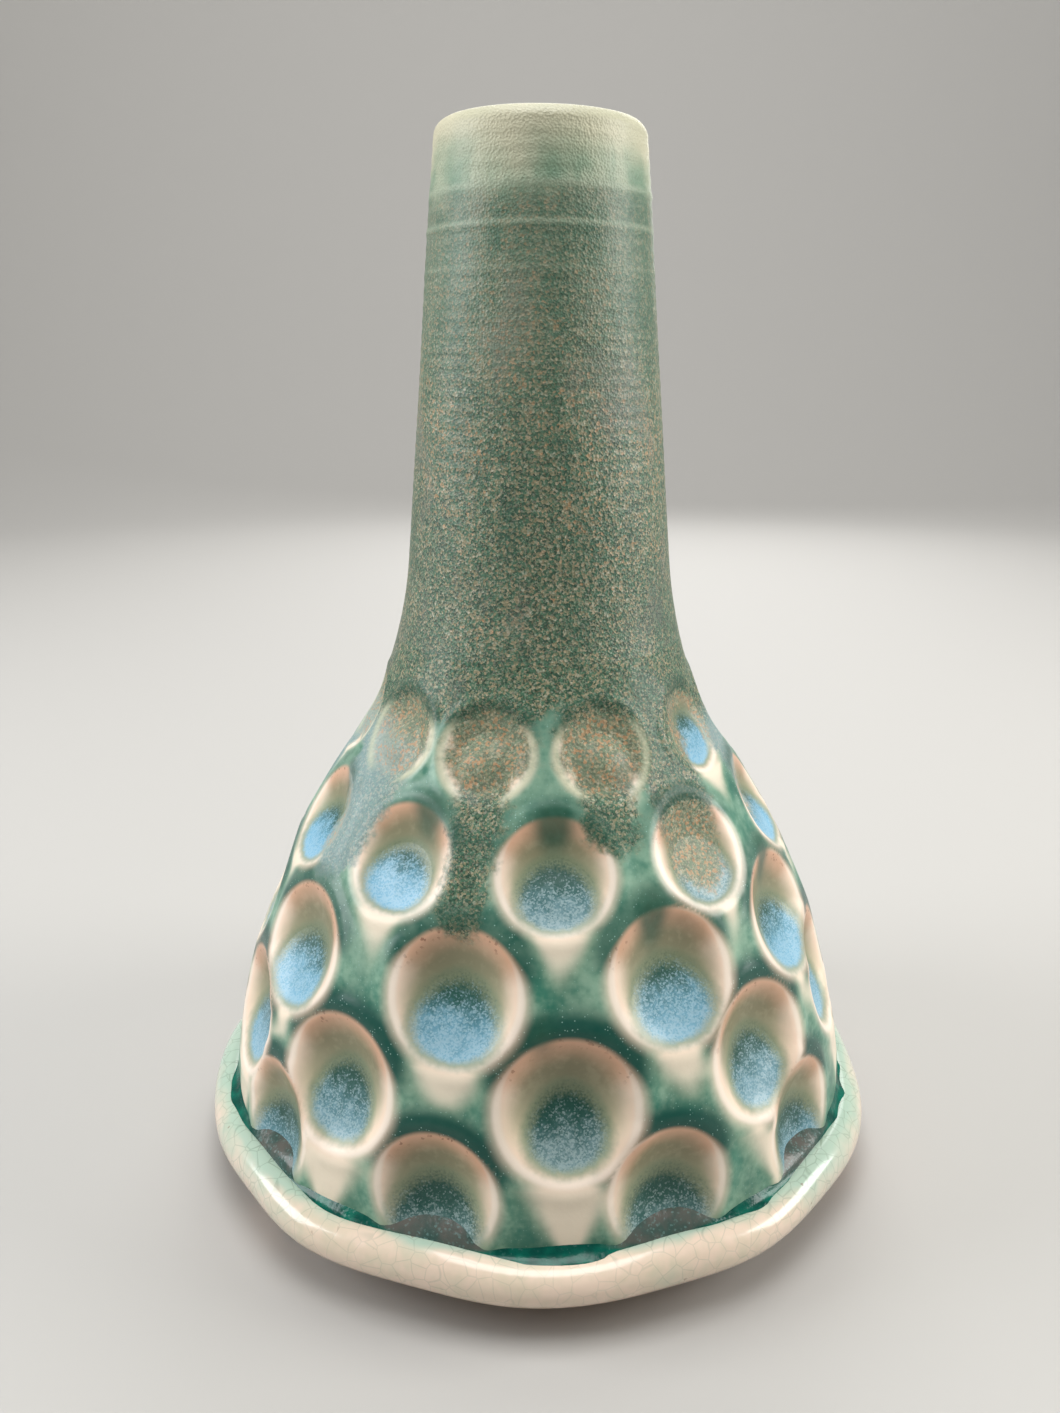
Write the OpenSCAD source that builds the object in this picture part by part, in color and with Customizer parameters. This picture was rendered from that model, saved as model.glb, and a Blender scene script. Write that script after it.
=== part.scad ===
// Bud vase of glazed stoneware: a dimpled bell on a wavy base rim, with a tall tapered neck.
// Millimetres. The origin is the centre of the footprint, on the table, and +Z is up.
// Angles round the vase are counted from the front (-Y) towards +X.

/* [Overall] */
// Height from the table to the top of the lip
total_h = 170; // [150:1:204]
// Outside diameter of the bell where it stands on the base
bell_d = 110; // [92:1:132]
// Outside diameter of the neck, carried up to the top of the lip
lip_d = 32; // [28:0.5:38]

/* [Wall] */
// Thickness of the bell's wall and the neck's wall
wall = 5; // [4:0.25:6]
// Radius of the bell's bulging curve, seen from the side
dome_r = 116; // [100:1:140]
// Height at which that curve stands upright
dome_z = 3.5; // [0:0.5:8]
// Radius of the hollow curve from the bell up into the neck
shoulder_r = 68; // [55:1:80]
// Lean of the neck's side, in degrees
neck_lean = 4.9; // [3:0.1:6]
// Height of the seam where the neck is joined to the bell
seam_z = 92; // [90:1:98]

/* [Base] */
// Thickness of the floor slab and of the rim round it
base_t = 6.5; // [5.5:0.25:8]
// How far the floor slab's edge lies inside the outside of the bell's foot, so that it ends under the wall
floor_inset = 2.5; // [1:0.25:3.5]
// How far the crests of the wavy rim stand out past the bell's foot
rim_out = 5; // [4:0.25:12]
// How far the rim is pinched in between two crests
rim_wave = 2; // [1:0.25:5]
// Radius of the hollow at each pinch
pinch_r = 9; // [7:0.5:12]
// Angle of the first crest
rim_turn = 3; // [0:1:36]

/* [Feet] */
// Number of feet
foot_count = 3; // [3:1:5]
// Height of a foot
foot_h = 6; // [5:0.5:8]
// Diameter of a foot
foot_d = 16; // [12:0.5:18]
// Radius of the rounding round a foot's sole
foot_round = 3; // [1:0.25:4]
// Distance from the outside of the bell's foot in to a foot's centre
foot_inset = 7; // [5:0.5:20]
// Angle of the first foot
foot_turn = -49; // [-180:1:180]

/* [Dimples] */
// Radius of the rounded tool that pressed the dimples
press_r = 16; // [13:0.5:18]
// Radius of the swelling that each press raised inside the wall
swell_r = 13.5; // [11:0.5:14]
// Width of the dimples in each ring, from the lowest ring up
dimple_w = [19, 21.5, 20.5, 17.5, 14.5];
// Height of each ring above the rim's middle plane
ring_h = [11, 24, 39.5, 55, 70];
// How far each ring rises to the right and sinks to the left
ring_tilt = [0, 2.5, 2, 0, 0];

/* [Glaze] */
// Thickness of the glaze coat inside
coat = 0.6; // [0.4:0.1:1]
// How far below the lip the coat inside ends
coat_stop = 6; // [3:0.5:12]
// Width of the glass pool in a dimple, as a share of the dimple
pool_share = 0.58; // [0.4:0.02:0.7]
// How far the pool has run down the dimple's hollow, as a share of its half angle
pool_sag = 0.3; // [0.1:0.05:0.4]
// Width of the glass bead in the groove round the bell's foot
bead_w = 2.4; // [1.5:0.1:3]
// Depth of the glass that stands in the lowest ring of dimples
foot_pool_h = 4; // [3:0.25:5]

/* [Hidden] */
$fn = 96;

// Angles of the presses in each ring, from the lowest ring up: pressed by hand, so the gaps differ
press_at = [
    [-51, -16, 21, 52, 89, 126, 162, 198, 235, 272],
    [-68, -36, 5, 43, 75, 111, 147, 183, 219, 256],
    [-54, -15, 26, 62, 97, 134, 170, 205, 240, 274],
    [-68, -33, 4, 41, 80, 114, 150, 186, 222, 257],
    [-50, -16, 20, 60, 95, 129, 166, 203, 240, 276]
];
ring_n = len(press_at[0]);
foot_ring = 0;
open_rings = [1, 2, 3, 4];

base_top = foot_h + base_t;
floor_r = bell_d / 2 - floor_inset;
rim_mid = foot_h + base_t / 2;
dome_steps = 10;
shoulder_steps = 8;
round_steps = 6;
rim_layers = 5;
glass_steps = 240;

// The side view of the wall: one bulging arc, one hollow arc and the neck's straight line.
// A depth counts inwards from the outside face, square to it.
across = [cos(neck_lean), sin(neck_lean)];
along = [-sin(neck_lean), cos(neck_lean)];
lip_point = [lip_d / 2, total_h];
dome_c = [bell_d / 2 - sqrt(pow(dome_r, 2) - pow(base_top - dome_z, 2)), dome_z];
shoulder_from = lip_point + across * shoulder_r - dome_c;
shoulder_slide = -shoulder_from * along
    + sqrt(pow(shoulder_from * along, 2) - shoulder_from * shoulder_from + pow(dome_r + shoulder_r, 2));
shoulder_c = lip_point + across * shoulder_r + along * shoulder_slide;
turn_a = atan2(shoulder_c[1] - dome_c[1], shoulder_c[0] - dome_c[0]);
turn_z = dome_c[1] + dome_r * sin(turn_a);

function arc(c, r, from, to, steps) =
    [for (i = [0 : steps]) let (a = from + (to - from) * i / steps) c + r * [cos(a), sin(a)]];

function wall_line(depth, from_z) = concat(
    arc(dome_c, dome_r - depth, asin((from_z - dome_z) / (dome_r - depth)), turn_a, dome_steps),
    arc(
        shoulder_c, shoulder_r + depth,
        180 + turn_a - turn_a / shoulder_steps, 180 + neck_lean, shoulder_steps - 1
    ),
    [[lip_point[0] - depth / cos(neck_lean), total_h]]
);

// Outside radius at a height, and how far the outward normal there tips up from level
function wall_radius(z) = z < turn_z
    ? dome_c[0] + sqrt(pow(dome_r, 2) - pow(z - dome_z, 2))
    : shoulder_c[0] - sqrt(pow(shoulder_r, 2) - pow(shoulder_c[1] - z, 2));
function wall_tip(z) = z < turn_z ? asin((z - dome_z) / dome_r) : asin((shoulder_c[1] - z) / shoulder_r);

function press_z(ring, a) = rim_mid + ring_h[ring] + ring_tilt[ring] * sin(a);
function press_out(ring) = sqrt(pow(press_r, 2) - pow(dimple_w[ring] / 2, 2));
function press_depth(ring) = press_r - press_out(ring);

// The wavy outline: crests and pinches are arcs that run smoothly into each other
half_pitch = 180 / ring_n;
crest_reach = bell_d / 2 + rim_out - base_t / 2;
pinch_c = crest_reach - rim_wave + pinch_r;
pinch_gap_2 = pow(crest_reach, 2) + pow(pinch_c, 2) - 2 * crest_reach * pinch_c * cos(half_pitch);
crest_r = (pinch_gap_2 - pow(pinch_r, 2)) / (2 * (pinch_r + crest_reach - pinch_c * cos(half_pitch)));
crest_c = crest_reach - crest_r;
crest_half_a = atan2(pinch_c * sin(half_pitch), pinch_c * cos(half_pitch) - crest_c);
pinch_half_a = crest_half_a - half_pitch;

function at_angle(r, a) = [r * sin(a), -r * cos(a)];
function wavy_outline(out) = [
    for (i = [0 : ring_n - 1])
        let (a = rim_turn + 360 / ring_n * i, c = at_angle(crest_c, a), p = at_angle(pinch_c, a + half_pitch))
            each concat(
                arc(c, crest_r + out, a - 90 - crest_half_a, a - 90 + crest_half_a, round_steps),
                arc(
                    p, pinch_r - out,
                    a + 90 + crest_half_a, a + 90 + crest_half_a - 2 * pinch_half_a, round_steps
                )
            )
];

// The rim's rounded edge is built from level layers. This is how far a layer reaches past the outline.
layer_t = base_t / rim_layers;
function layer_reach(i) = sqrt(pow(base_t / 2, 2) - pow((i + 0.5) * layer_t - base_t / 2, 2));
top_reach = layer_reach(rim_layers - 1);

module band(from_z, to_z) {
    translate([0, from_z])
        square([bell_d, to_z - from_z]);
}

// Everything inside a given depth of the wall, as half of a side view
module side_view(depth, from_z = base_top) {
    polygon(concat([[0, from_z]], wall_line(depth, from_z), [[0, total_h]]));
}

// The outside of the whole vase as half of a side view, with a full round on the lip
module lipped_view() {
    lip_half = wall / 2 / cos(neck_lean);
    lip_c = [lip_d / 2 + lip_half * tan(neck_lean) - lip_half, total_h - lip_half];
    line = wall_line(0, base_top);
    polygon(concat(
        [[0, base_top]],
        [for (i = [0 : len(line) - 2]) line[i]],
        arc(lip_c, lip_half, 0, 180, 2 * round_steps),
        [[0, lip_c[1]]]
    ));
}

// Places a child on the outside of the wall, with +X pointing straight out of it
module on_wall(a, z, out = 0) {
    rotate([0, 0, a - 90])
        translate([wall_radius(z), 0, z])
            rotate([0, -wall_tip(z), 0])
                translate([out, 0, 0])
                    children();
}

module presses(rings) {
    for (ring = rings, a = press_at[ring])
        on_wall(a, press_z(ring, a), press_out(ring))
            sphere(r = press_r);
}

// The round swellings inside the wall behind the presses
module swellings(coated) {
    for (ring = [0 : len(press_at) - 1], a = press_at[ring])
        on_wall(a, press_z(ring, a), swell_r - press_depth(ring) - wall)
            sphere(r = swell_r + coated);
}

module wavy_plate(out, from_z, to_z) {
    translate([0, 0, from_z])
        linear_extrude(to_z - from_z)
            polygon(wavy_outline(out));
}

module feet() {
    color("peachpuff")
        for (i = [0 : foot_count - 1])
            rotate([0, 0, foot_turn - 90 + 360 / foot_count * i])
                translate([bell_d / 2 - foot_inset, 0, 0])
                    rotate_extrude()
                        polygon(concat(
                            [[0, foot_h], [0, 0]],
                            arc([foot_d / 2 - foot_round, foot_round], foot_round, -90, 0, round_steps),
                            [[foot_d / 2, foot_h]]
                        ));
}

module base_floor() {
    color("bisque")
        translate([0, 0, foot_h])
            cylinder(h = base_t, r = floor_r);
}

module base_rim() {
    color("antiquewhite")
        difference() {
            for (i = [0 : rim_layers - 1])
                wavy_plate(layer_reach(i), foot_h + i * layer_t, foot_h + (i + 1) * layer_t);
            translate([0, 0, foot_h - 1])
                cylinder(h = base_t + 2, r = floor_r);
        }
}

module bell_wall() {
    color("seagreen")
        difference() {
            rotate_extrude()
                intersection() {
                    side_view(0);
                    band(base_top, seam_z);
                }
            presses([0 : len(press_at) - 1]);
            difference() {
                rotate_extrude()
                    intersection() {
                        side_view(wall, base_top - 1);
                        band(base_top - 1, seam_z + 1);
                    }
                swellings(0);
            }
        }
}

module neck() {
    color("darkseagreen")
        rotate_extrude()
            difference() {
                intersection() {
                    lipped_view();
                    band(seam_z, total_h);
                }
                side_view(wall);
            }
}

module gutter_glaze() {
    foot_x = wall_radius(base_top);
    glass_top = base_top + foot_pool_h;
    back_x = foot_x - wall + 1;
    color("darkslategray")
        intersection() {
            difference() {
                rotate_extrude($fn = glass_steps)
                    polygon([
                        [back_x, base_top],
                        [foot_x + bead_w, base_top],
                        [foot_x - wall / 2, glass_top],
                        [back_x, glass_top]
                    ]);
                difference() {
                    rotate_extrude($fn = glass_steps)
                        side_view(0);
                    presses([foot_ring], $fn = glass_steps);
                }
            }
            wavy_plate(top_reach, base_top - 1, glass_top + 1);
        }
}

module dimple_glaze() {
    color("steelblue")
        for (ring = open_rings) {
            half_a = asin(dimple_w[ring] / 2 / press_r);
            pool_r = dimple_w[ring] / 2 * pool_share;
            front = sqrt(pow(press_r, 2) - pow(pool_r, 2));
            for (a = press_at[ring])
                on_wall(a, press_z(ring, a), press_out(ring))
                    rotate([0, -half_a * pool_sag, 0])
                        intersection() {
                            sphere(r = press_r, $fn = glass_steps);
                            translate([-front - press_r, -press_r, -press_r])
                                cube([press_r, 2 * press_r, 2 * press_r]);
                        }
        }
}

module liner_glaze() {
    color("powderblue")
        difference() {
            rotate_extrude()
                intersection() {
                    side_view(wall);
                    band(base_top, total_h - coat_stop);
                }
            swellings(0);
            difference() {
                rotate_extrude()
                    intersection() {
                        side_view(wall + coat, base_top + coat);
                        band(base_top + coat, total_h);
                    }
                swellings(coat);
            }
        }
}

feet();
base_floor();
base_rim();
bell_wall();
neck();
gutter_glaze();
dimple_glaze();
liner_glaze();
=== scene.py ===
"""A glazed stoneware bud vase: a dimpled bell with a tall neck, on a rolled rim and three small feet.

Lengths inside the script are millimetres in the vase's own frame, and meshes are written in metres.
Angles round the vase are degrees from the front (-Y) towards +X.
"""

import logging
import math
from contextlib import contextmanager
from dataclasses import dataclass, field
from enum import Enum
from typing import Iterator, Sequence

import bpy
import numpy as np
from mathutils import Matrix, Vector


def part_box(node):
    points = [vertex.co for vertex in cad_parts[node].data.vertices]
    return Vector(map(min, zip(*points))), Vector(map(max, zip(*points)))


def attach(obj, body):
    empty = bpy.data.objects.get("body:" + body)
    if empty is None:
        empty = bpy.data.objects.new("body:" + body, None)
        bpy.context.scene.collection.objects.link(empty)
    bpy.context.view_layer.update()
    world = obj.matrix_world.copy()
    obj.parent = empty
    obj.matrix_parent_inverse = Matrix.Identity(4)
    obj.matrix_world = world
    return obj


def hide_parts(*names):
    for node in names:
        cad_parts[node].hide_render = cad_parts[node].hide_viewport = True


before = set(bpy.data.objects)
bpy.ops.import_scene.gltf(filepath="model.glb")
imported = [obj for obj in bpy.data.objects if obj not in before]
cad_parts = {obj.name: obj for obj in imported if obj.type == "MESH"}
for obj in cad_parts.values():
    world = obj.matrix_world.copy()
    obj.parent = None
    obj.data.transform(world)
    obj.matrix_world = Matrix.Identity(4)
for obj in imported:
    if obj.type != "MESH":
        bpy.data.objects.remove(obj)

logging.basicConfig(level=logging.INFO, format="%(message)s")
LOG = logging.getLogger("bud_vase")

MM = 0.001
BODY = "root"
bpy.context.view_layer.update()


# ---------------------------------------------------------------------------------------------
# Shader maths
# ---------------------------------------------------------------------------------------------


class Signal:
    """An output socket that takes part in sums, as a number does."""

    def __init__(self, bench: "Bench", socket: bpy.types.NodeSocket) -> None:
        """Wraps a socket.

        Args:
            bench: the material's node maker.
            socket: the output socket.
        """
        self.bench = bench
        self.socket = socket

    def __add__(self, other: "Signal | float") -> "Signal":
        """Sum."""
        return self.bench.math("ADD", self, other)

    __radd__ = __add__

    def __sub__(self, other: "Signal | float") -> "Signal":
        """Difference."""
        return self.bench.math("SUBTRACT", self, other)

    def __rsub__(self, other: float) -> "Signal":
        """Difference from a number."""
        return self.bench.math("SUBTRACT", other, self)

    def __mul__(self, other: "Signal | float") -> "Signal":
        """Product."""
        return self.bench.math("MULTIPLY", self, other)

    __rmul__ = __mul__

    def __truediv__(self, other: "Signal | float") -> "Signal":
        """Quotient."""
        return self.bench.math("DIVIDE", self, other)

    def at_least(self, other: "Signal | float") -> "Signal":
        """The larger of the two."""
        return self.bench.math("MAXIMUM", self, other)

    def at_most(self, other: "Signal | float") -> "Signal":
        """The smaller of the two."""
        return self.bench.math("MINIMUM", self, other)

    def ease(self, low: float, high: float) -> "Signal":
        """A smooth step from 0 at low to 1 at high, or the other way when low is the larger.

        Args:
            low: the value that gives 0.
            high: the value that gives 1.

        Returns:
            The stepped signal.
        """
        if low < high:
            return self.bench.map_range(self, (low, high), (0.0, 1.0))
        return self.bench.map_range(self, (high, low), (1.0, 0.0))


class Bench:
    """Makes the nodes of one material."""

    def __init__(self, name: str) -> None:
        """Starts an empty material.

        Args:
            name: the material's name.
        """
        self.material = bpy.data.materials.new(name)
        self.material.use_nodes = True
        self.tree = self.material.node_tree
        self.tree.nodes.clear()
        self._place: Signal | None = None

    def node(self, kind: str, settings: dict | None = None, sockets: dict | None = None) -> bpy.types.Node:
        """Adds any node.

        Args:
            kind: the node's type.
            settings: its properties, set first.
            sockets: values or signals by the input's name or number.

        Returns:
            The node.
        """
        made = self.tree.nodes.new(kind)
        for key, value in (settings or {}).items():
            setattr(made, key, value)
        for key, value in (sockets or {}).items():
            if isinstance(value, Signal):
                self.tree.links.new(value.socket, made.inputs[key])
            else:
                made.inputs[key].default_value = value
        return made

    def math(self, operation: str, a: "Signal | float", b: "Signal | float") -> Signal:
        """A Math node on two values."""
        return Signal(self, self.node("ShaderNodeMath", {"operation": operation}, {0: a, 1: b}).outputs[0])

    def map_range(self, value: Signal, source: tuple[float, float], target: tuple[float, float]) -> Signal:
        """A smooth-stepped Map Range from one span to another."""
        sockets = dict(zip(("From Min", "From Max", "To Min", "To Max"), source + target))
        made = self.node("ShaderNodeMapRange", {"interpolation_type": "SMOOTHSTEP"}, {"Value": value, **sockets})
        return Signal(self, made.outputs["Result"])

    def mix(self, share: "Signal | float", a: "Signal | tuple", b: "Signal | tuple") -> Signal:
        """Colour a going to colour b as share goes from 0 to 1."""
        made = self.node("ShaderNodeMix", {"data_type": "RGBA"}, {0: share, 6: a, 7: b})
        return Signal(self, made.outputs[2])

    @property
    def place(self) -> Signal:
        """Object coordinates."""
        if self._place is None:
            self._place = Signal(self, self.node("ShaderNodeTexCoord").outputs["Object"])
        return self._place

    @property
    def height(self) -> Signal:
        """Height over the table in millimetres."""
        return Signal(self, self.node("ShaderNodeSeparateXYZ", {}, {0: self.place}).outputs["Z"]) / MM

    def stretched(self, along: tuple[float, float, float]) -> Signal:
        """Object coordinates stretched by three factors."""
        made = self.node("ShaderNodeMapping", {}, {"Vector": self.place, "Scale": along})
        return Signal(self, made.outputs["Vector"])

    def felt(self, name: str) -> Signal:
        """The piece's own painted value of that name."""
        return Signal(self, self.node("ShaderNodeAttribute", {"attribute_name": name}).outputs["Fac"])

    def noise(self, size_mm: float, detail: float = 2.0, where: Signal | None = None) -> Signal:
        """Cloudy noise from 0 to 1 with features of a given size."""
        made = self.node(
            "ShaderNodeTexNoise", {},
            {"Vector": where or self.place, "Scale": 1 / (size_mm * MM), "Detail": detail},
        )
        return Signal(self, made.outputs["Fac"])

    def cells(self, size_mm: float) -> tuple[Signal, Signal]:
        """Cells of a given size: the distance from each one's middle, and one random number a cell."""
        made = self.node("ShaderNodeTexVoronoi", {}, {"Vector": self.place, "Scale": 1 / (size_mm * MM)})
        split = self.node("ShaderNodeSeparateColor", {}, {"Color": Signal(self, made.outputs["Color"])})
        return Signal(self, made.outputs["Distance"]), Signal(self, split.outputs["Red"])

    def crackle(self, size_mm: float) -> Signal:
        """Distance from the nearest edge of cells of a given size, in cells."""
        made = self.node(
            "ShaderNodeTexVoronoi", {"feature": "DISTANCE_TO_EDGE"},
            {"Vector": self.place, "Scale": 1 / (size_mm * MM)},
        )
        return Signal(self, made.outputs["Distance"])

    def ramp(self, value: Signal, stops: Sequence[tuple[float, "Colour"]]) -> Signal:
        """A colour ramp.

        Args:
            value: what moves along the ramp.
            stops: each stop's position and colour.

        Returns:
            The colour.
        """
        made = self.node("ShaderNodeValToRGB", {}, {"Fac": value})
        elements = made.color_ramp.elements
        while len(elements) < len(stops):
            elements.new(0.5)
        for element, (position, colour) in zip(elements, stops):
            element.position = position
            element.color = colour
        return Signal(self, made.outputs["Color"])

    def bump(self, height: Signal, depth_mm: float, under: Signal | None = None) -> Signal:
        """A Bump node.

        Args:
            height: the relief, from 0 to 1.
            depth_mm: what 1 stands for.
            under: a normal that this one is added to.

        Returns:
            The normal.
        """
        sockets = {"Height": height, "Distance": depth_mm * MM, "Strength": 1.0}
        if under is not None:
            sockets["Normal"] = under
        return Signal(self, self.node("ShaderNodeBump", {}, sockets).outputs["Normal"])

    def finish(self, **sockets: "Signal | float | tuple") -> bpy.types.Material:
        """Adds the Principled shader and the output.

        Args:
            sockets: the shader's inputs, with _ for a space in a name.

        Returns:
            The material.
        """
        named = {key.replace("_", " "): value for key, value in sockets.items()}
        shader = self.node("ShaderNodeBsdfPrincipled", {}, named)
        self.node("ShaderNodeOutputMaterial", {}, {"Surface": Signal(self, shader.outputs["BSDF"])})
        return self.material


Colour = tuple[float, float, float, float]


def tone(red: float, green: float, blue: float) -> Colour:
    """A colour given in 0-255 display values, as the shader's linear RGBA."""
    def linear(value: float) -> float:
        """One channel."""
        value /= 255
        return value / 12.92 if value <= 0.04045 else ((value + 0.055) / 1.055) ** 2.4
    return linear(red), linear(green), linear(blue), 1.0


# ---------------------------------------------------------------------------------------------
# The form of the wall
# ---------------------------------------------------------------------------------------------


@dataclass(frozen=True)
class WallLine:
    """The side view of the wall: a bulging arc, a hollow arc and the neck's straight line."""

    total_h: float
    base_top: float
    foot_radius: float = 55.0
    lip_radius: float = 16.0
    wall: float = 5.0
    dome_r: float = 116.0
    dome_z: float = 3.5
    shoulder_r: float = 68.0
    lean: float = math.radians(4.9)

    @property
    def dome_x(self) -> float:
        """Radius at which the bulging arc's centre lies."""
        return self.foot_radius - math.sqrt(self.dome_r**2 - (self.base_top - self.dome_z) ** 2)

    @property
    def shoulder_centre(self) -> tuple[float, float]:
        """Centre of the hollow arc, which touches the bulging arc and the neck's line."""
        across = np.array([math.cos(self.lean), math.sin(self.lean)])
        along = np.array([-math.sin(self.lean), math.cos(self.lean)])
        start = np.array([self.lip_radius, self.total_h]) + across * self.shoulder_r
        away = start - np.array([self.dome_x, self.dome_z])
        slope = float(away @ along)
        slide = -slope + math.sqrt(slope**2 - float(away @ away) + (self.dome_r + self.shoulder_r) ** 2)
        centre = start + along * slide
        return float(centre[0]), float(centre[1])

    @property
    def turn(self) -> float:
        """Direction from the bulging arc's centre to the hollow arc's, where the two arcs meet."""
        x, z = self.shoulder_centre
        return math.atan2(z - self.dome_z, x - self.dome_x)

    @property
    def turn_z(self) -> float:
        """Height where the bulging arc ends."""
        return self.dome_z + self.dome_r * math.sin(self.turn)

    @property
    def neck_z(self) -> float:
        """Height where the neck's straight line begins."""
        return self.shoulder_centre[1] - self.shoulder_r * math.sin(self.lean)

    def radius(self, z: np.ndarray, depth: float = 0.0) -> np.ndarray:
        """Radius of the wall at a height, at a depth under its outside."""
        z = np.asarray(z, float)
        x, shoulder_z = self.shoulder_centre
        dome = self.dome_x + np.sqrt(np.maximum((self.dome_r - depth) ** 2 - (z - self.dome_z) ** 2, 0))
        hollow = x - np.sqrt(np.maximum((self.shoulder_r + depth) ** 2 - (shoulder_z - z) ** 2, 0))
        line = self.lip_radius + (self.total_h - z) * math.tan(self.lean) - depth / math.cos(self.lean)
        dome_end = self.dome_z + (self.dome_r - depth) * math.sin(self.turn)
        hollow_end = shoulder_z - (self.shoulder_r + depth) * math.sin(self.lean)
        return np.where(z < dome_end, dome, np.where(z < hollow_end, hollow, line))

    def tip(self, z: np.ndarray) -> np.ndarray:
        """How far the outward normal tips up from level, in radians."""
        z = np.asarray(z, float)
        dome = np.arcsin(np.clip((z - self.dome_z) / self.dome_r, -1, 1))
        hollow = np.arcsin(np.clip((self.shoulder_centre[1] - z) / self.shoulder_r, math.sin(self.lean), 1))
        return np.where(z < self.turn_z, dome, hollow)

    def normals(self, points: np.ndarray) -> np.ndarray:
        """The unpressed wall's outward normal beside each point."""
        turn, tip = np.arctan2(points[:, 0], -points[:, 1]), self.tip(points[:, 2])
        return np.stack([np.sin(turn) * np.cos(tip), -np.cos(turn) * np.cos(tip), np.sin(tip)], 1)


@dataclass(frozen=True)
class DimpleRing:
    """One level ring of pressed dimples.

    Attributes:
        height: height of the ring over the middle of the rim.
        width: how wide each dimple is.
        rise: how much higher the ring is on the right, and lower on the left.
        angles: where the dimples are.
        blueness: how blue the pools in front are, from 0 to 1.
        pool_centre: the pools' middle over the dimples' own, in half widths of the dimple, like the next two.
        pool_half_height: half the pools' height.
        pool_half_width: half the pools' width.
        filled: numbers of the dimples that the neck's glaze has filled.
    """

    height: float
    width: float
    rise: float
    angles: tuple[float, ...]
    blueness: float
    pool_centre: float = -0.29
    pool_half_height: float = 0.64
    pool_half_width: float = 0.70
    filled: tuple[int, ...] = ()


@dataclass(frozen=True)
class Run:
    """A run of green glaze that crosses a dimple's upper edge and breaks its pale ring.

    Attributes:
        ring: the dimple's ring, from the lowest up.
        number: the dimple's number in its ring.
        shift: how far right of the dimple's middle it runs, in half widths of the dimple, like the next two.
        half_width: half its width.
        foot: how high it ends over the dimple's middle.
    """

    ring: int
    number: int
    shift: float
    half_width: float
    foot: float


@dataclass(frozen=True)
class Drip:
    """A tongue of the neck's speckled glaze that has run down over the bell.

    Attributes:
        angle: where it is.
        foot_z: height of its tip.
        half_width: half its width near the tip.
        spread: how much wider it gets with each millimetre up.
    """

    angle: float
    foot_z: float
    half_width: float
    spread: float = 0.05


@dataclass
class Press:
    """One dimple, with the directions that it is pressed along."""

    ring: int
    number: int
    angle: float
    rule: DimpleRing
    spot: np.ndarray
    out: np.ndarray
    side: np.ndarray
    up: np.ndarray

    @property
    def half(self) -> float:
        """Half the dimple's width."""
        return self.rule.width / 2

    @property
    def filled(self) -> bool:
        """True where the neck's speckled glaze has run in and filled the dimple."""
        return self.number in self.rule.filled


RIM_MIDDLE = 9.25
DIMPLE_RINGS = (
    DimpleRing(11, 19, 0, (-51, -16, 21, 52, 89, 126, 162, 198, 235, 272), 0.1, -0.4, 0.7, 0.8),
    DimpleRing(24, 21.5, 2.5, (-68, -36, 5, 43, 75, 111, 147, 183, 219, 256), 0.2, -0.25, 0.6, 0.6),
    DimpleRing(39.5, 20.5, 2, (-54, -15, 26, 62, 97, 134, 170, 205, 240, 274), 0.62),
    DimpleRing(55, 17.5, 0, (-68, -33, 4, 41, 80, 114, 150, 186, 222, 257), 0.85, -0.27, 0.64, 0.72),
    DimpleRing(
        70, 14.5, 0, (-50, -16, 20, 60, 95, 129, 166, 203, 240, 276), 0.8, -0.15, 0.68, 0.7,
        filled=(0, 1, 2, 4, 6, 7, 9),
    ),
)
# Ring and number of the dimples whose pools the green runs have greyed.
GREYED = ((3, 2), (3, 3))
# How much narrower a pool is at its top than across its middle.
EGG_TAPER = 0.14
# A depth in millimetres that stands for being outside every press.
NOWHERE = -30.0
RUNS = (
    Run(3, 2, 0.0, 0.34, 0.25), Run(3, 1, 0.30, 0.36, 0.35), Run(3, 3, 0.0, 0.5, -0.3), Run(3, 0, 0.3, 0.3, 0.2),
    Run(2, 2, -0.15, 0.26, 0.35), Run(1, 2, -0.35, 0.2, 0.75), Run(2, 3, 0.1, 0.2, 0.4),
    Run(3, 5, 0.1, 0.35, 0.0), Run(3, 7, -0.2, 0.3, -0.1), Run(2, 6, 0.2, 0.25, 0.1), Run(3, 8, 0.3, 0.3, 0.1),
    Run(2, 8, -0.2, 0.25, 0.3), Run(1, 7, 0.3, 0.18, 0.6),
)
DRIPS = (
    Drip(-15.5, 55.5, 3.4, 0.07), Drip(19, 66, 4.2, 0.10), Drip(41, 59, 5.6, 0.08), Drip(-54, 58, 6.5, 0.15),
    Drip(77, 63, 4.0), Drip(101, 57, 3.6), Drip(133, 66, 5.5), Drip(157, 60, 3.2), Drip(188, 56, 4.4),
    Drip(214, 67, 3.6), Drip(238, 60, 5.0), Drip(268, 64, 3.8),
)


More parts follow.
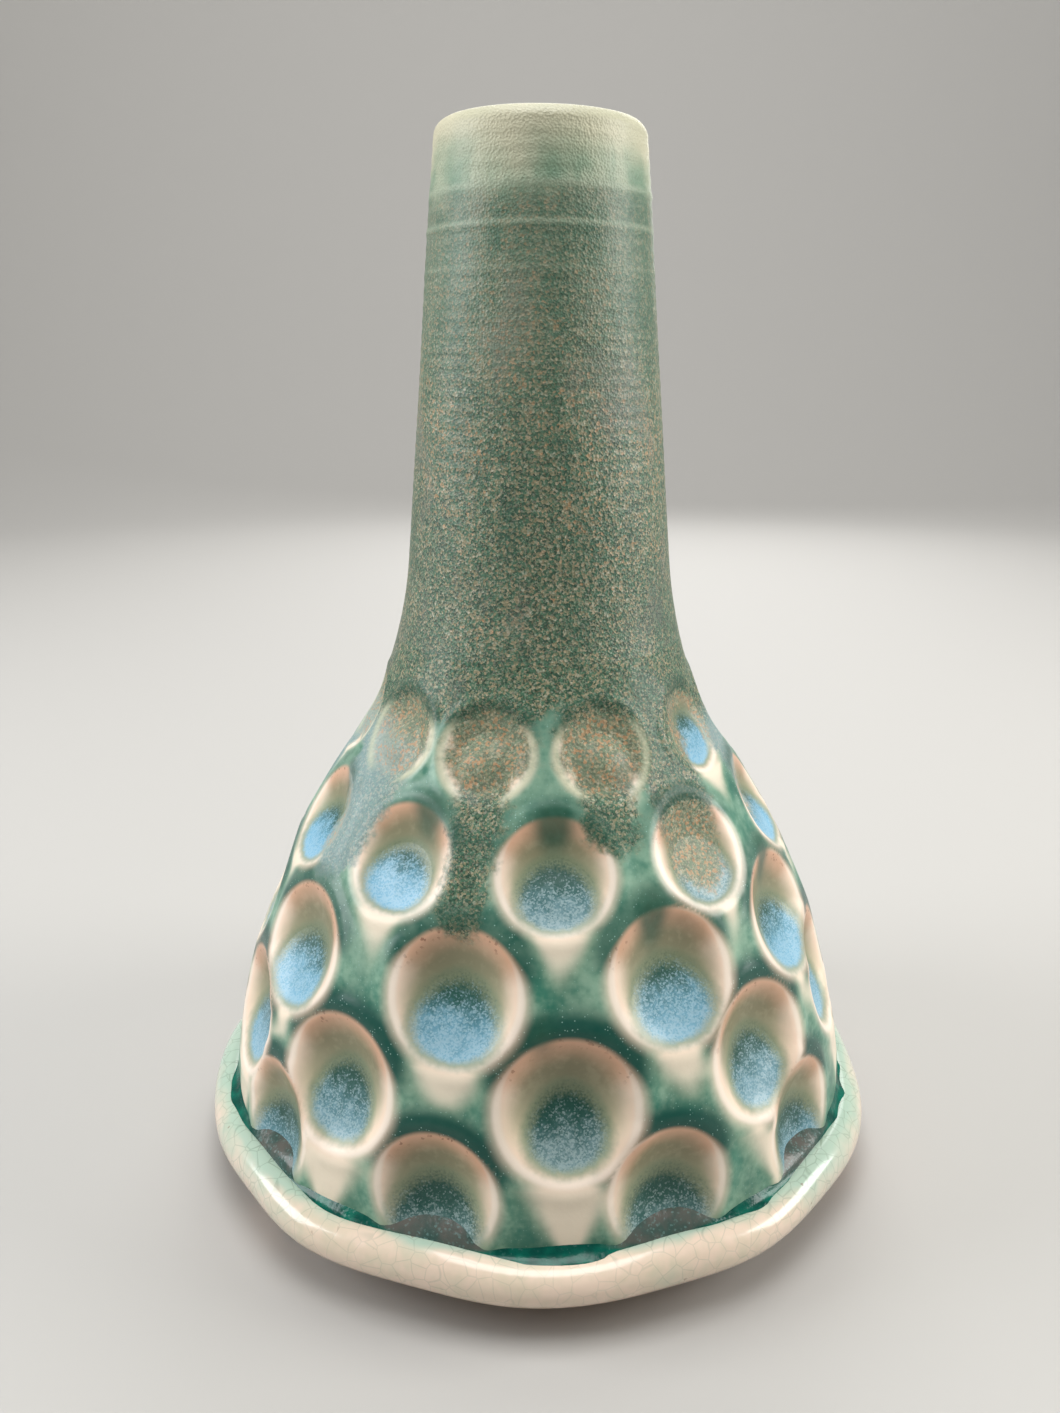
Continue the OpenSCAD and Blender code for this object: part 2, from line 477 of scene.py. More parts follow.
@dataclass
class DimpleField:
    """Where the dimples are, how deep they stand at any point, and what each point's glaze follows."""

    line: WallLine
    tool_r: float = 16.0
    swell_r: float = 13.5
    edge: float = 0.55
    blend: int = 6
    lip_height: float = 0.28
    lip_place: float = 1.13
    lip_spread: float = 0.13
    uneven: float = 0.10
    near: float = 12.0
    greying: float = 0.35
    hem_z: float = 83.0
    presses: list[Press] = field(default_factory=list)

    def __post_init__(self) -> None:
        """Places the presses on the wall."""
        for ring, rule in enumerate(DIMPLE_RINGS):
            for number, angle in enumerate(rule.angles):
                turn = math.radians(angle)
                z = RIM_MIDDLE + rule.height + rule.rise * math.sin(turn)
                r, tip = float(self.line.radius(z)), float(self.line.tip(z))
                level = np.array([math.sin(turn), -math.cos(turn), 0.0])
                rise = np.array([0.0, 0.0, 1.0])
                self.presses.append(Press(
                    ring, number, angle, rule,
                    spot=level * r + rise * z,
                    out=level * math.cos(tip) + rise * math.sin(tip),
                    side=np.array([math.cos(turn), math.sin(turn), 0.0]),
                    up=rise * math.cos(tip) - level * math.sin(tip),
                ))

    def seat(self, press: Press) -> float:
        """How far outside the wall the pressing ball's centre stands."""
        return math.sqrt(self.tool_r**2 - press.half**2)

    def local(self, press: Press, points: np.ndarray) -> tuple[np.ndarray, np.ndarray, np.ndarray]:
        """Coordinates of points beside, above and out of a press."""
        away = points - press.spot
        return away @ press.side, away @ press.up, away @ press.out

    def bowl(self, press: Press, u: np.ndarray, v: np.ndarray) -> np.ndarray:
        """Height of the dimple's bowl over the press's own plane."""
        return self.seat(press) - np.sqrt(np.maximum(self.tool_r**2 - u**2 - v**2, 0.01))

    def sink(self, points: np.ndarray, inside: bool) -> np.ndarray:
        """How far each point of the smooth wall sinks inwards.

        Args:
            points: points on the unpressed wall.
            inside: True for the wall's inner face, which swells where the outer one is pressed.

        Returns:
            The distance, along the wall's normal.
        """
        total = np.zeros(len(points))
        lips = np.zeros(len(points))
        for press in self.presses:
            u, v, w = self.local(press, points)
            if inside:
                ball = self.swell_r
                seat = ball - (self.tool_r - self.seat(press)) - self.line.wall
            else:
                ball = self.tool_r
                seat = self.seat(press)
            flat = u**2 + v**2
            under = np.where(flat < ball**2, w - seat + np.sqrt(np.maximum(ball**2 - flat, 0)), NOWHERE)
            under = np.where(np.abs(w) < self.near, under, NOWHERE)
            total += np.maximum(0.5 * (under + np.sqrt(under**2 + self.edge**2)), 0) ** self.blend
            if not inside:
                away = (np.sqrt(flat) / press.half - self.lip_place) / self.lip_spread
                lips = np.maximum(lips, np.exp(-(away**2)) * (np.abs(w) < self.near))
        uneven = 0.0 if inside else self.uneven * ripple(points, 26, 3)
        return total ** (1 / self.blend) - self.lip_height * lips + uneven

    def egg(self, press: Press, x: np.ndarray, y: np.ndarray) -> np.ndarray:
        """1 in the middle of a dimple's pool, 0 on its edge and negative outside it."""
        rule = press.rule
        high = (y - rule.pool_centre) / rule.pool_half_height
        wide = x / (rule.pool_half_width * (1 - EGG_TAPER * np.clip(high, -1.5, 1.5)))
        return 1 - np.sqrt(wide**2 + high**2)

    def blue(self, press: Press) -> float:
        """How blue a dimple's pool is: bluer to the left and right sides as painted reflection of the side lights,
        less where green glaze ran in.
        """
        # Painted reflection: pools towards the left and right sides are made bluer, as if they reflected the side
        # lights.
        sideways = math.sin(math.radians(press.angle)) ** 2
        blueness = press.rule.blueness + 0.75 * sideways * (1 - press.rule.blueness)
        return blueness * self.greying if (press.ring, press.number) in GREYED else blueness

    def cover(self, points: np.ndarray) -> np.ndarray:
        """Millimetres by which a point lies inside the neck's speckled glaze, negative outside it."""
        angle, reach, z = angles_of(points), reach_of(points), points[:, 2]
        wander = 2.2 * np.sin(np.radians(angle * 5 + 40)) + 1.6 * np.sin(np.radians(angle * 9 - 25))
        best = z - (self.hem_z + wander)
        for drip in DRIPS:
            x = np.radians((angle - drip.angle + 180) % 360 - 180) * reach
            above = np.maximum(z - drip.foot_z - drip.half_width, 0)
            below = np.minimum(z - drip.foot_z - drip.half_width, 0)
            best = np.maximum(best, drip.half_width + drip.spread * above - np.hypot(x, below))
        for press in self.presses:
            if press.filled:
                u, v, w = self.local(press, points)
                near = np.sqrt(u**2 + (v - 1.5) ** 2) / press.half
                best = np.maximum(best, np.where(np.abs(w) < self.near, (1.0 - near) * 5.0, NOWHERE))
        return best

    def onto_wall(self, points: np.ndarray) -> np.ndarray:
        """Carries points out along the wall's normal to the unpressed wall."""
        moved = points.copy()
        for _ in range(4):
            gap = self.line.radius(moved[:, 2]) - reach_of(moved)
            moved += self.line.normals(moved) * (gap * np.cos(self.line.tip(moved[:, 2])))[:, None]
        return moved

    def crest(self, near: np.ndarray, top: np.ndarray) -> np.ndarray:
        """1 in the dark arc over a dimple's upper edge, fading away from it."""
        beyond = np.maximum(near - 1.0, 0) / 0.36
        return np.exp(-(beyond**2)) * top**0.6 * np.clip((near - 0.9) / 0.08, 0, 1)

    def tail(self, press: Press, x: np.ndarray, y: np.ndarray) -> np.ndarray:
        """1 in the pale tail that hangs under a dimple, longest under the second ring."""
        narrowest, longest = (0.25, 2.2) if press.ring == 1 else (0.1, 1.5)
        drop = -y - 0.72
        narrow = np.clip(1.15 - 0.78 * drop, narrowest, 1.1)
        fall = np.clip((longest - drop) / 1.2, 0, 1)
        return np.clip(drop / 0.3, 0, 1) * fall * np.exp(-((x / narrow) ** 2) * 1.5)

    def entry(self, run: Run, x: np.ndarray, y: np.ndarray, near: np.ndarray) -> np.ndarray:
        """1 where a run of green glaze crosses a dimple's upper edge."""
        wide = run.half_width * (0.75 + 0.55 * np.clip(y, 0, 1.2))
        across = np.exp(-(((x - run.shift) / wide) ** 2))
        return across * (np.clip((y - run.foot) / 0.8 + 0.35, 0, 1) * np.clip((1.5 - near) / 0.4, 0, 1))

    def glaze(self, points: np.ndarray) -> dict[str, np.ndarray]:
        """What the glaze follows at each point of the unpressed wall, and the painted reflection towards the
        sides.

        Args:
            points: points on the unpressed wall.

        Returns:
            One array for each painted value.
        """
        count = len(points)
        reach = np.full(count, 3.0)
        felt = {key: np.zeros(count) for key in ("crest", "tail", "entry", "ridge")}
        felt["pool"] = np.full(count, -2.0)
        felt["halo"] = np.full(count, -3.0)
        weight = np.full(count, 1e-9)
        blend = {key: np.zeros(count) for key in ("lift", "low", "blue", "top")}
        for press in self.presses:
            u, v, w = self.local(press, points)
            x, y = u / press.half, v / press.half
            near = np.where(np.abs(w) < self.near, np.hypot(x, y), 3.0)
            reach = np.minimum(reach, near)
            here = near < 2.9
            upward = np.clip((y / np.maximum(near, 0.2) - 0.05) / 0.75, 0, 1)
            top = upward**2 * (3 - 2 * upward)
            pull = np.exp(-9 * near) * here
            weight += pull
            low = np.clip(0.5 - (y - press.rule.pool_centre) / 1.2, 0, 1)
            for key, value in (("lift", y), ("low", low), ("blue", self.blue(press)), ("top", top)):
                blend[key] += pull * value
            halo = np.clip((1.02 - 0.03 * top - near) / (0.20 - 0.14 * top), -3, 3)
            felt["halo"] = np.maximum(felt["halo"], halo)
            felt["crest"] = np.maximum(felt["crest"], self.crest(near, top) * here)
            felt["tail"] = np.maximum(felt["tail"], self.tail(press, x, y) * here)
            if press.filled:
                band = np.exp(-(((near - 1.0) / 0.085) ** 2)) * np.clip((np.abs(x) - 0.35) * 3, 0, 1)
                felt["ridge"] = np.maximum(felt["ridge"], band * np.clip((0.75 - y) * 3, 0, 1))
            else:
                felt["pool"] = np.maximum(felt["pool"], np.where(near < 1.3, self.egg(press, x, y), -2.0))
            for run in RUNS:
                if run.ring == press.ring and run.number == press.number:
                    felt["entry"] = np.maximum(felt["entry"], self.entry(run, x, y, near) * here)
        for key, value in blend.items():
            felt[key] = value / weight
        # Painted reflection: bluer towards the left and right of the shoulder as seen from the front.
        sideways = np.clip((1 - np.cos(np.radians(angles_of(points) * 2 - 20))) / 2, 0, 1)
        felt["side_reflection"] = sideways * np.clip((86 - points[:, 2]) / 9, 0, 1)
        felt["reach"] = reach
        felt["cover"] = np.clip(self.cover(points), -30, 30)
        return felt


# ---------------------------------------------------------------------------------------------
# Working on meshes
# ---------------------------------------------------------------------------------------------


def pick(*pieces: bpy.types.Object) -> None:
    """Selects these pieces and nothing else, with the first one active."""
    bpy.ops.object.select_all(action="DESELECT")
    for piece in pieces:
        piece.select_set(True)
    bpy.context.view_layer.objects.active = pieces[0]


def joined(name: str, pieces: Sequence[bpy.types.Object]) -> bpy.types.Object:
    """Joins the pieces into the first one, under a new name."""
    pick(*pieces)
    bpy.ops.object.join()
    pieces[0].name = pieces[0].data.name = name
    return pieces[0]


@contextmanager
def edit_mode(piece: bpy.types.Object) -> Iterator[None]:
    """Goes into edit mode on one piece, with all of it selected, and comes back out."""
    pick(piece)
    bpy.ops.object.mode_set(mode="EDIT")
    bpy.ops.mesh.select_all(action="SELECT")
    try:
        yield
    finally:
        bpy.ops.object.mode_set(mode="OBJECT")
        piece.select_set(False)


def points_of(piece: bpy.types.Object) -> np.ndarray:
    """The piece's vertices in millimetres."""
    flat = np.zeros(len(piece.data.vertices) * 3, np.float32)
    piece.data.vertices.foreach_get("co", flat)
    return flat.reshape(-1, 3).astype(float) / MM


def lay(piece: bpy.types.Object, points: np.ndarray) -> None:
    """Moves the piece's vertices to the given places in millimetres."""
    piece.data.vertices.foreach_set("co", (points * MM).astype(np.float32).ravel())
    piece.data.update()


def paint(piece: bpy.types.Object, felt: dict[str, np.ndarray]) -> None:
    """Writes values onto the piece's vertices for its glaze to follow."""
    for name, values in felt.items():
        layer = piece.data.attributes.new(name, "FLOAT", "POINT")
        layer.data.foreach_set("value", values.astype(np.float32))


def felt_at(piece: bpy.types.Object, name: str) -> np.ndarray:
    """Reads a painted value back."""
    values = np.zeros(len(piece.data.vertices), np.float32)
    piece.data.attributes[name].data.foreach_get("value", values)
    return values


def smooth(piece: bpy.types.Object, degrees: float = 50) -> None:
    """Shades a piece smooth, except across sharp edges."""
    pick(piece)
    bpy.ops.object.shade_smooth_by_angle(angle=math.radians(degrees))
    piece.select_set(False)


def turned(name: str, section: np.ndarray, steps: int, poles: bool = False) -> bpy.types.Object:
    """Turns a section round the vase's axis, as on a wheel.

    Args:
        name: the piece's name.
        section: radius and height of each point, in order.
        steps: how many steps make the full turn.
        poles: True if the section starts and ends on the axis, so that it is an open line.

    Returns:
        The piece, with each point's place along the section painted on it as row.
    """
    bpy.ops.object.select_all(action="DESELECT")
    bpy.ops.mesh.primitive_circle_add(vertices=len(section), radius=1.0, location=(0, 0, 0))
    piece = bpy.context.object
    piece.name = piece.data.name = name
    lay(piece, np.stack([section[:, 0], np.zeros(len(section)), section[:, 1]], 1))
    paint(piece, {"row": np.arange(len(section), dtype=float)})
    ends = (0, len(section) - 1)
    with edit_mode(piece):
        if poles:
            bpy.ops.mesh.select_mode(type="EDGE")
            bpy.ops.mesh.select_all(action="DESELECT")
            bpy.ops.object.mode_set(mode="OBJECT")
            for edge in piece.data.edges:
                edge.select = tuple(sorted(edge.vertices)) == ends
            bpy.ops.object.mode_set(mode="EDIT")
            bpy.ops.mesh.delete(type="EDGE")
            bpy.ops.mesh.select_mode(type="VERT")
            bpy.ops.mesh.select_all(action="SELECT")
        bpy.ops.mesh.spin(
            steps=steps, angle=math.tau, center=(0, 0, 0), axis=(0, 0, 1), use_auto_merge=True
        )
        bpy.ops.mesh.select_all(action="SELECT")
        bpy.ops.mesh.remove_doubles(threshold=2e-6)
        bpy.ops.mesh.normals_make_consistent(inside=False)
    return piece


def angles_of(points: np.ndarray) -> np.ndarray:
    """Angle of each point from the front, in degrees."""
    return np.degrees(np.arctan2(points[:, 0], -points[:, 1]))


def reach_of(points: np.ndarray) -> np.ndarray:
    """Distance of each point from the vase's axis."""
    return np.hypot(points[:, 0], points[:, 1])


def level_out(degrees: np.ndarray) -> np.ndarray:
    """Level directions away from the axis, one for each angle."""
    turn = np.radians(degrees)
    return np.stack([np.sin(turn), -np.cos(turn), np.zeros(len(turn))], 1)


def climb(value: np.ndarray, start: float | np.ndarray, span: float) -> np.ndarray:
    """0 before start, 1 from start + span on and a straight line between, the other way for a negative span."""
    return np.clip((value - start) / span, 0, 1)


def ripple(points: np.ndarray, size: float, seed: int) -> np.ndarray:
    """A smooth random relief from about -1 to 1, made of a few waves in fixed directions.

    Args:
        points: where it is read, in millimetres.
        size: the typical length of a wave.
        seed: which pattern.

    Returns:
        The relief at each point.
    """
    dice = np.random.default_rng(seed)
    total = np.zeros(len(points))
    waves = 9
    for _ in range(waves):
        way = dice.normal(size=3)
        way /= np.linalg.norm(way)
        total += np.sin(points @ way * (math.tau / size * dice.uniform(0.6, 1.5)) + dice.uniform(0, math.tau))
    return total / math.sqrt(waves)


def settle(piece: bpy.types.Object, material: bpy.types.Material, slot: str, *nodes: str) -> None:
    """Dresses a finished piece and ties it to the vase's body.

    Args:
        piece: the piece.
        material: its finish.
        slot: the material slot that the finish stands for; not used.
        nodes: the solids that the piece stands for.
    """
    piece.data.materials.clear()
    piece.data.materials.append(material)
    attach(piece, BODY)
    if nodes:
        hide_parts(*nodes)
    LOG.info("%s: %d vertices, stands for %s", piece.name, len(piece.data.vertices), ", ".join(nodes) or "itself")


# ---------------------------------------------------------------------------------------------
# Glazes
# ---------------------------------------------------------------------------------------------


@dataclass(frozen=True)
class Clouds:
    """Three sizes of soft noise that a running glaze follows, from the largest down."""

    cloud: Signal
    mottle: Signal
    haze: Signal


class Kiln(Enum):
    """Which recipe a surface of the pressed wall takes."""

    BELL = "bell_glaze"
    NECK = "neck_glaze"
    POOL = "dimple_glass"


@dataclass(frozen=True)
class Ridge:
    """A low ridge left by throwing, at a height on the neck."""

    z: float
    relief: float
    width: float
    pale: float


THROWING_RIDGES = (
    Ridge(159.5, 0.13, 0.7, 0.6),
    Ridge(154.5, 0.11, 0.6, 0.5),
    Ridge(157.2, 0.04, 0.5, 0.12),
    Ridge(148.6, 0.06, 0.6, 0.18),
)


@dataclass(frozen=True)
class SpeckledGlaze:
    """The neck's matt glaze: dense grains over grey-green, and plain celadon under the lip."""

    grain: float = 0.38
    pit_depth: float = 0.10
    ground: Colour = tone(76, 114, 90)
    shade: Colour = tone(40, 66, 52)
    tan: Colour = tone(164, 148, 116)
    peach: Colour = tone(206, 154, 110)
    pale: Colour = tone(182, 184, 164)
    moss: Colour = tone(38, 82, 66)
    plum: Colour = tone(104, 104, 102)
    hole: Colour = tone(30, 32, 26)
    thin: tuple[Colour, Colour] = (tone(134, 146, 126), tone(86, 118, 96))
    lip: tuple[Colour, Colour] = (tone(126, 156, 130), tone(178, 188, 162))
    brim: tuple[Colour, Colour] = (tone(208, 206, 178), tone(234, 222, 192))
    band: Colour = tone(176, 190, 166)
    # Painted reflection laid on the sides of the shoulder.
    side_reflection: Colour = tone(160, 186, 190)

    def grains(self, bench: Bench, cloud: Signal, patch: Signal) -> Signal:
        """Grains of two sizes, denser and darker towards the shoulder.

        Args:
            bench: the material's node maker.
            cloud: soft noise of middle size.
            patch: soft noise of large size.

        Returns:
            The colour.
        """
        _, coarse = bench.cells(self.grain)
        _, fine = bench.cells(self.grain * 0.55)
        rich = (cloud - 0.5) * 0.45 + (patch - 0.5) * 0.35 - bench.height.ease(128, 88) * 0.10
        large = bench.ramp(coarse + rich, (
            (0.0, self.shade), (0.22, self.shade), (0.34, self.ground), (0.60, self.ground),
            (0.72, self.tan), (0.86, self.tan), (0.92, self.pale), (0.98, self.peach),
        ))
        small = bench.ramp(fine, (
            (0.0, self.shade), (0.2, self.ground), (0.6, self.ground), (0.72, self.tan), (0.92, self.pale),
        ))
        return bench.mix(0.4, large, small)

    def colour(self, bench: Bench) -> Signal:
        """Builds the glaze's colour.

        Args:
            bench: the material's node maker.

        Returns:
            The colour.
        """
        cloud, patch = bench.noise(9, 3), bench.noise(22, 2)
        height = bench.height
        streak = bench.noise(12, 3, bench.stretched((1.6, 1.6, 0.7)))
        surface = self.grains(bench, cloud, patch)
        surface = bench.mix(streak.ease(0.50, 0.66) * 0.30, surface, self.moss)
        surface = bench.mix(streak.ease(0.46, 0.32) * 0.30, surface, self.plum)
        hole, odd = bench.cells(1.0)
        holes = hole.ease(0.22, 0.12) * odd.ease(0.86, 0.9) * height.ease(112, 92)
        surface = bench.mix(holes * 0.8, surface, self.hole)
        fade = (height + (cloud - 0.5) * 26).ease(112, 160)
        surface = bench.mix(fade * 0.62, surface, bench.mix(streak.ease(0.35, 0.6), *self.thin))
        lip = (height + (cloud - 0.5) * 5).ease(157.0, 161.5)
        brim = (height + (cloud - 0.5) * 9).ease(160.5, 167.5)
        plain = bench.mix(streak.ease(0.62, 0.40), *self.lip)
        plain = bench.mix(brim * 0.85, plain, bench.mix(patch, *self.brim))
        surface = bench.mix(lip * 0.9, surface, plain)
        return bench.mix(self.bands(bench), surface, self.band)

    def bands(self, bench: Bench) -> Signal:
        """Pale lines along the throwing ridges."""
        total = 0.0
        for ridge in THROWING_RIDGES:
            away = bench.math("ABSOLUTE", bench.height - ridge.z, 0.0)
            total = (1 - away / ridge.width).at_least(0.0) * ridge.pale + total
        return total * (0.45 + bench.noise(6, 2) * 0.8)

    def material(self) -> bpy.types.Material:
        """The neck's whole finish."""
        bench = Bench(Kiln.NECK.value)
        pits, _ = bench.cells(self.grain)
        normal = bench.bump(pits, self.pit_depth)
        return bench.finish(
            Base_Color=self.colour(bench),
            Roughness=0.52 + (bench.noise(5, 2) - 0.5) * 0.15,
            Normal=bench.bump(bench.noise(7, 3), 0.12, normal),
            Specular_IOR_Level=0.45,
            Coat_Weight=0.18,
            Coat_Roughness=0.3,
        )


@dataclass(frozen=True)
class WallGlaze:
    """The running green glaze of the bell, pale where it is thin and glassy where it pools."""

    dark: Colour = tone(6, 72, 62)
    green: Colour = tone(62, 126, 106)
    light: Colour = tone(146, 182, 158)
    star: Colour = tone(168, 206, 196)
    wake: Colour = tone(160, 184, 156)
    tail: Colour = tone(250, 234, 212)
    cream: Colour = tone(255, 230, 208)
    pink: Colour = tone(216, 172, 142)
    blush: Colour = tone(226, 190, 166)
    rust: Colour = tone(128, 70, 52)
    hairline: Colour = tone(255, 242, 228)
    # Painted shade: the darker olive of each dimple's upper inner wall, which faces down and away from the light
    # above.
    shaded_olive: Colour = tone(136, 134, 106)
    sage: Colour = tone(212, 202, 170)
    bran: Colour = tone(190, 182, 152)
    run: Colour = tone(42, 78, 60)
    rind: Colour = tone(96, 134, 108)
    # Painted shade on the upper inner wall just above each pool.
    shaded_shore: Colour = tone(126, 136, 108)
    deep: Colour = tone(30, 76, 66)
    grey_ground: Colour = tone(56, 96, 86)
    blue_ground: Colour = tone(74, 138, 158)
    grey_pool: Colour = tone(150, 168, 162)
    blue_pool: Colour = tone(126, 190, 226)
    crystal: Colour = tone(214, 226, 222)
    fill: Colour = tone(196, 190, 158)
    ember: Colour = tone(216, 152, 104)
    ridge: Colour = tone(206, 208, 178)

    def land(self, bench: Bench, wobble: Signal, shadow: Signal, soft: Clouds) -> Signal:
        """Colour of the wall between the dimples.

        Args:
            bench: the material's node maker.
            wobble: unevenness that every edge follows.
            shadow: 1 in the dark arcs over the dimples.
            soft: the glaze's three sizes of noise.

        Returns:
            The colour.
        """
        tail = bench.felt("tail")
        surface = bench.mix(
            (soft.cloud * 0.5 + soft.mottle * 0.3 + soft.haze * 0.2).ease(0.38, 0.64), self.green, self.light
        )
        far = (bench.felt("reach") + wobble).ease(1.1, 1.7)
        surface = bench.mix(far * 0.35, surface, self.dark)
        milky = bench.height.ease(46, 72)
        surface = bench.mix(shadow * (0.95 - milky * 0.45), surface, self.dark)
        surface = bench.mix(milky * soft.mottle.ease(0.2, 0.7) * 0.40, surface, self.light)
        spot, star = bench.cells(0.36)
        stars = star.ease(0.80, 0.84) * spot.ease(0.34, 0.16) * (shadow * 0.8 + far * 0.4 + 0.15).at_most(1.0)
        surface = bench.mix(stars * 0.7, surface, self.star)
        wake = tail * (1 - shadow * 0.8) + wobble * 0.8
        return bench.mix(wake.ease(0.05, 0.9) * 0.9, surface, bench.mix(wake.ease(0.2, 0.8), self.wake, self.tail))

    def ring(self, bench: Bench, wobble: Signal, surface: Signal, soft: Clouds) -> Signal:
        """Lays the pale ring round each dimple, pink and rusty on its upper side.

        Args:
            bench: the material's node maker.
            wobble: unevenness that every edge follows.
            surface: the colour under it.
            soft: the glaze's three sizes of noise.

        Returns:
            The colour.
        """
        top, halo = bench.felt("top"), bench.felt("halo")
        colour = bench.mix(top.ease(0.1, 0.9), self.cream, self.pink)
        colour = bench.mix((soft.mottle - 0.35).at_least(0.0) * 0.7, colour, self.blush)
        _, fleck = bench.cells(0.42)
        rust = fleck.ease(0.90, 0.95) * top * bench.felt("reach").ease(0.80, 0.92) * soft.cloud.ease(0.42, 0.6)
        colour = bench.mix(rust * 0.6, colour, self.rust)
        surface = bench.mix((halo + wobble * (1.5 - top)).ease(-0.9, 0.8), surface, colour)
        line = halo + wobble
        line = line.ease(-0.15, 0.25) * line.ease(0.75, 0.4) * (1 - top)
        return bench.mix(line * 0.6, surface, self.hairline)

    def bowl(self, bench: Bench, wobble: Signal, surface: Signal, soft: Clouds) -> Signal:
        """Lays the bowl's colour inside each ring, lighter sage below going to darker olive above as painted shade
        on the upper inner wall, and the green runs that break into it.

        Args:
            bench: the material's node maker.
            wobble: unevenness that every edge follows.
            surface: the colour under it.
            soft: the glaze's three sizes of noise.

        Returns:
            The colour.
        """
        inner = (bench.felt("reach") + wobble).ease(0.97, 0.60)
        # Painted shade: sage on the lower inner wall going to olive on the upper one, which faces down and away
        # from the light above.
        colour = bench.mix(bench.felt("lift").ease(-0.5, 0.5), self.sage, self.shaded_olive)
        colour = bench.mix((soft.haze * 0.6 + soft.mottle * 0.4).ease(0.45, 0.65) * 0.25, colour, self.bran)
        surface = bench.mix(inner * 0.95, surface, colour)
        run = (bench.felt("entry") + wobble * 1.3).ease(0.1, 0.9) * 0.85
        return bench.mix(run, surface, bench.mix(soft.haze * 0.4, self.run, self.green))

    def pool(self, bench: Bench, low: Signal, blue: Signal) -> Signal:
        """Colour of the glass that stands in a dimple, with crystals that crowd towards its foot.

        Args:
            bench: the material's node maker.
            low: 0 at the pool's top and 1 at its foot.
            blue: 0 for a grey pool and 1 for a blue one.

        Returns:
            The colour.
        """
        _, crystal = bench.cells(0.24)
        _, mote = bench.cells(0.48)
        veil = bench.noise(2.4, 2) - 0.5
        ground = bench.mix(blue * low.ease(0.15, 0.7), self.grey_ground, self.blue_ground)
        bright = bench.mix(blue, self.grey_pool, self.blue_pool)
        crowd = low * 0.85 + blue * 0.30 + veil * 0.5
        colour = bench.mix(crowd.ease(0.1, 0.75), self.deep, ground)
        colour = bench.mix(crowd.ease(0.35, 1.1) * 0.62, colour, bright)
        colour = bench.mix((mote * 0.5 + crowd).ease(0.7, 1.3) * 0.35, colour, bright)
        glint = (crystal + crowd * 0.9).ease(0.9, 1.5) * 0.55
        return bench.mix(glint, colour, bench.mix(0.4, bright, self.crystal))

    def glass(self, bench: Bench, wobble: Signal, surface: Signal, soft: Clouds) -> tuple[Signal, Signal]:
        """Lays the pools, with a frayed upper edge, a green rind round them and painted shade on the upper wall
        just above them.

        Args:
            bench: the material's node maker.
            wobble: unevenness that every edge follows.
            surface: the colour under it.
            soft: the glaze's three sizes of noise.

        Returns:
            The colour, and how much of it is glassy.
        """
        low = bench.felt("low")
        high = 1 - low
        edge = bench.felt("pool") + wobble * 0.5 + (soft.haze - 0.5) * 0.10
        surface = bench.mix(edge.ease(-0.20, 0.04) * (0.75 - high * 0.3), surface, self.rind)
        # Painted shade: a greyer olive band on the upper inner wall just above the pool.
        surface = bench.mix(edge.ease(-0.45, 0.1) * high.ease(0.3, 0.9) * 0.6, surface, self.shaded_shore)
        frayed = edge + (bench.noise(0.35, 1) - 0.5) * high * 0.5
        share = (frayed / (0.13 + high * 0.42)).ease(-0.15, 1.0)
        return bench.mix(share, surface, self.pool(bench, low, bench.felt("blue"))), share

    def coat(self, bench: Bench, wobble: Signal, surface: Signal, soft: Clouds) -> tuple[Signal, Signal]:
        """Lays the neck's speckled glaze where it has run down over the bell, bluer towards the sides as painted
        reflection.

        Args:
            bench: the material's node maker.
            wobble: unevenness that every edge follows.
            surface: the colour under it.
            soft: the glaze's three sizes of noise.

        Returns:
            The colour, and how much of it is speckled.
        """
        speckled = SpeckledGlaze()
        ragged = bench.felt("cover") + (soft.mottle - 0.5) * 4.5 + (soft.haze - 0.5) * 3.0
        share = ragged.ease(-1.2, 1.6)
        # Painted reflection: the speckled glaze turns bluer towards the sides.
        side_reflection = bench.mix(bench.felt("side_reflection").ease(0.3, 0.9) * 0.6, speckled.colour(bench), speckled.side_reflection)
        surface = bench.mix(share, surface, side_reflection)
        fill = (bench.felt("reach") + wobble).ease(1.02, 0.72) * share
        surface = bench.mix(fill * 0.22, surface, self.fill)
        _, fleck = bench.cells(0.42)
        surface = bench.mix(fleck.ease(0.76, 0.86) * fill * 0.45, surface, self.ember)
        moss = (bench.felt("crest") + wobble).ease(0.2, 0.9) * share * soft.cloud.ease(0.38, 0.62)
        surface = bench.mix(moss * 0.75, surface, speckled.moss)
        return bench.mix(bench.felt("ridge") * 0.7, surface, self.ridge), share

    def colour(self, bench: Bench) -> tuple[Signal, Signal]:
        """Builds the bell's colour, from the land between the dimples up.

        Args:
            bench: the material's node maker.

        Returns:
            The colour, and how much of it is glassy.
        """
        soft = Clouds(bench.noise(11, 3), bench.noise(3.2, 3), bench.noise(1.1, 2))
        wobble = (soft.cloud - 0.5) * 0.16 + (soft.mottle - 0.5) * 0.10
        shadow = (bench.felt("crest") + wobble * 0.8).ease(0.08, 0.72)
        surface = self.land(bench, wobble, shadow, soft)
        surface = self.ring(bench, wobble, surface, soft)
        surface = self.bowl(bench, wobble, surface, soft)
        surface, glass = self.glass(bench, wobble, surface, soft)
        surface, speckled = self.coat(bench, wobble, surface, soft)
        return surface, glass * (1 - speckled)

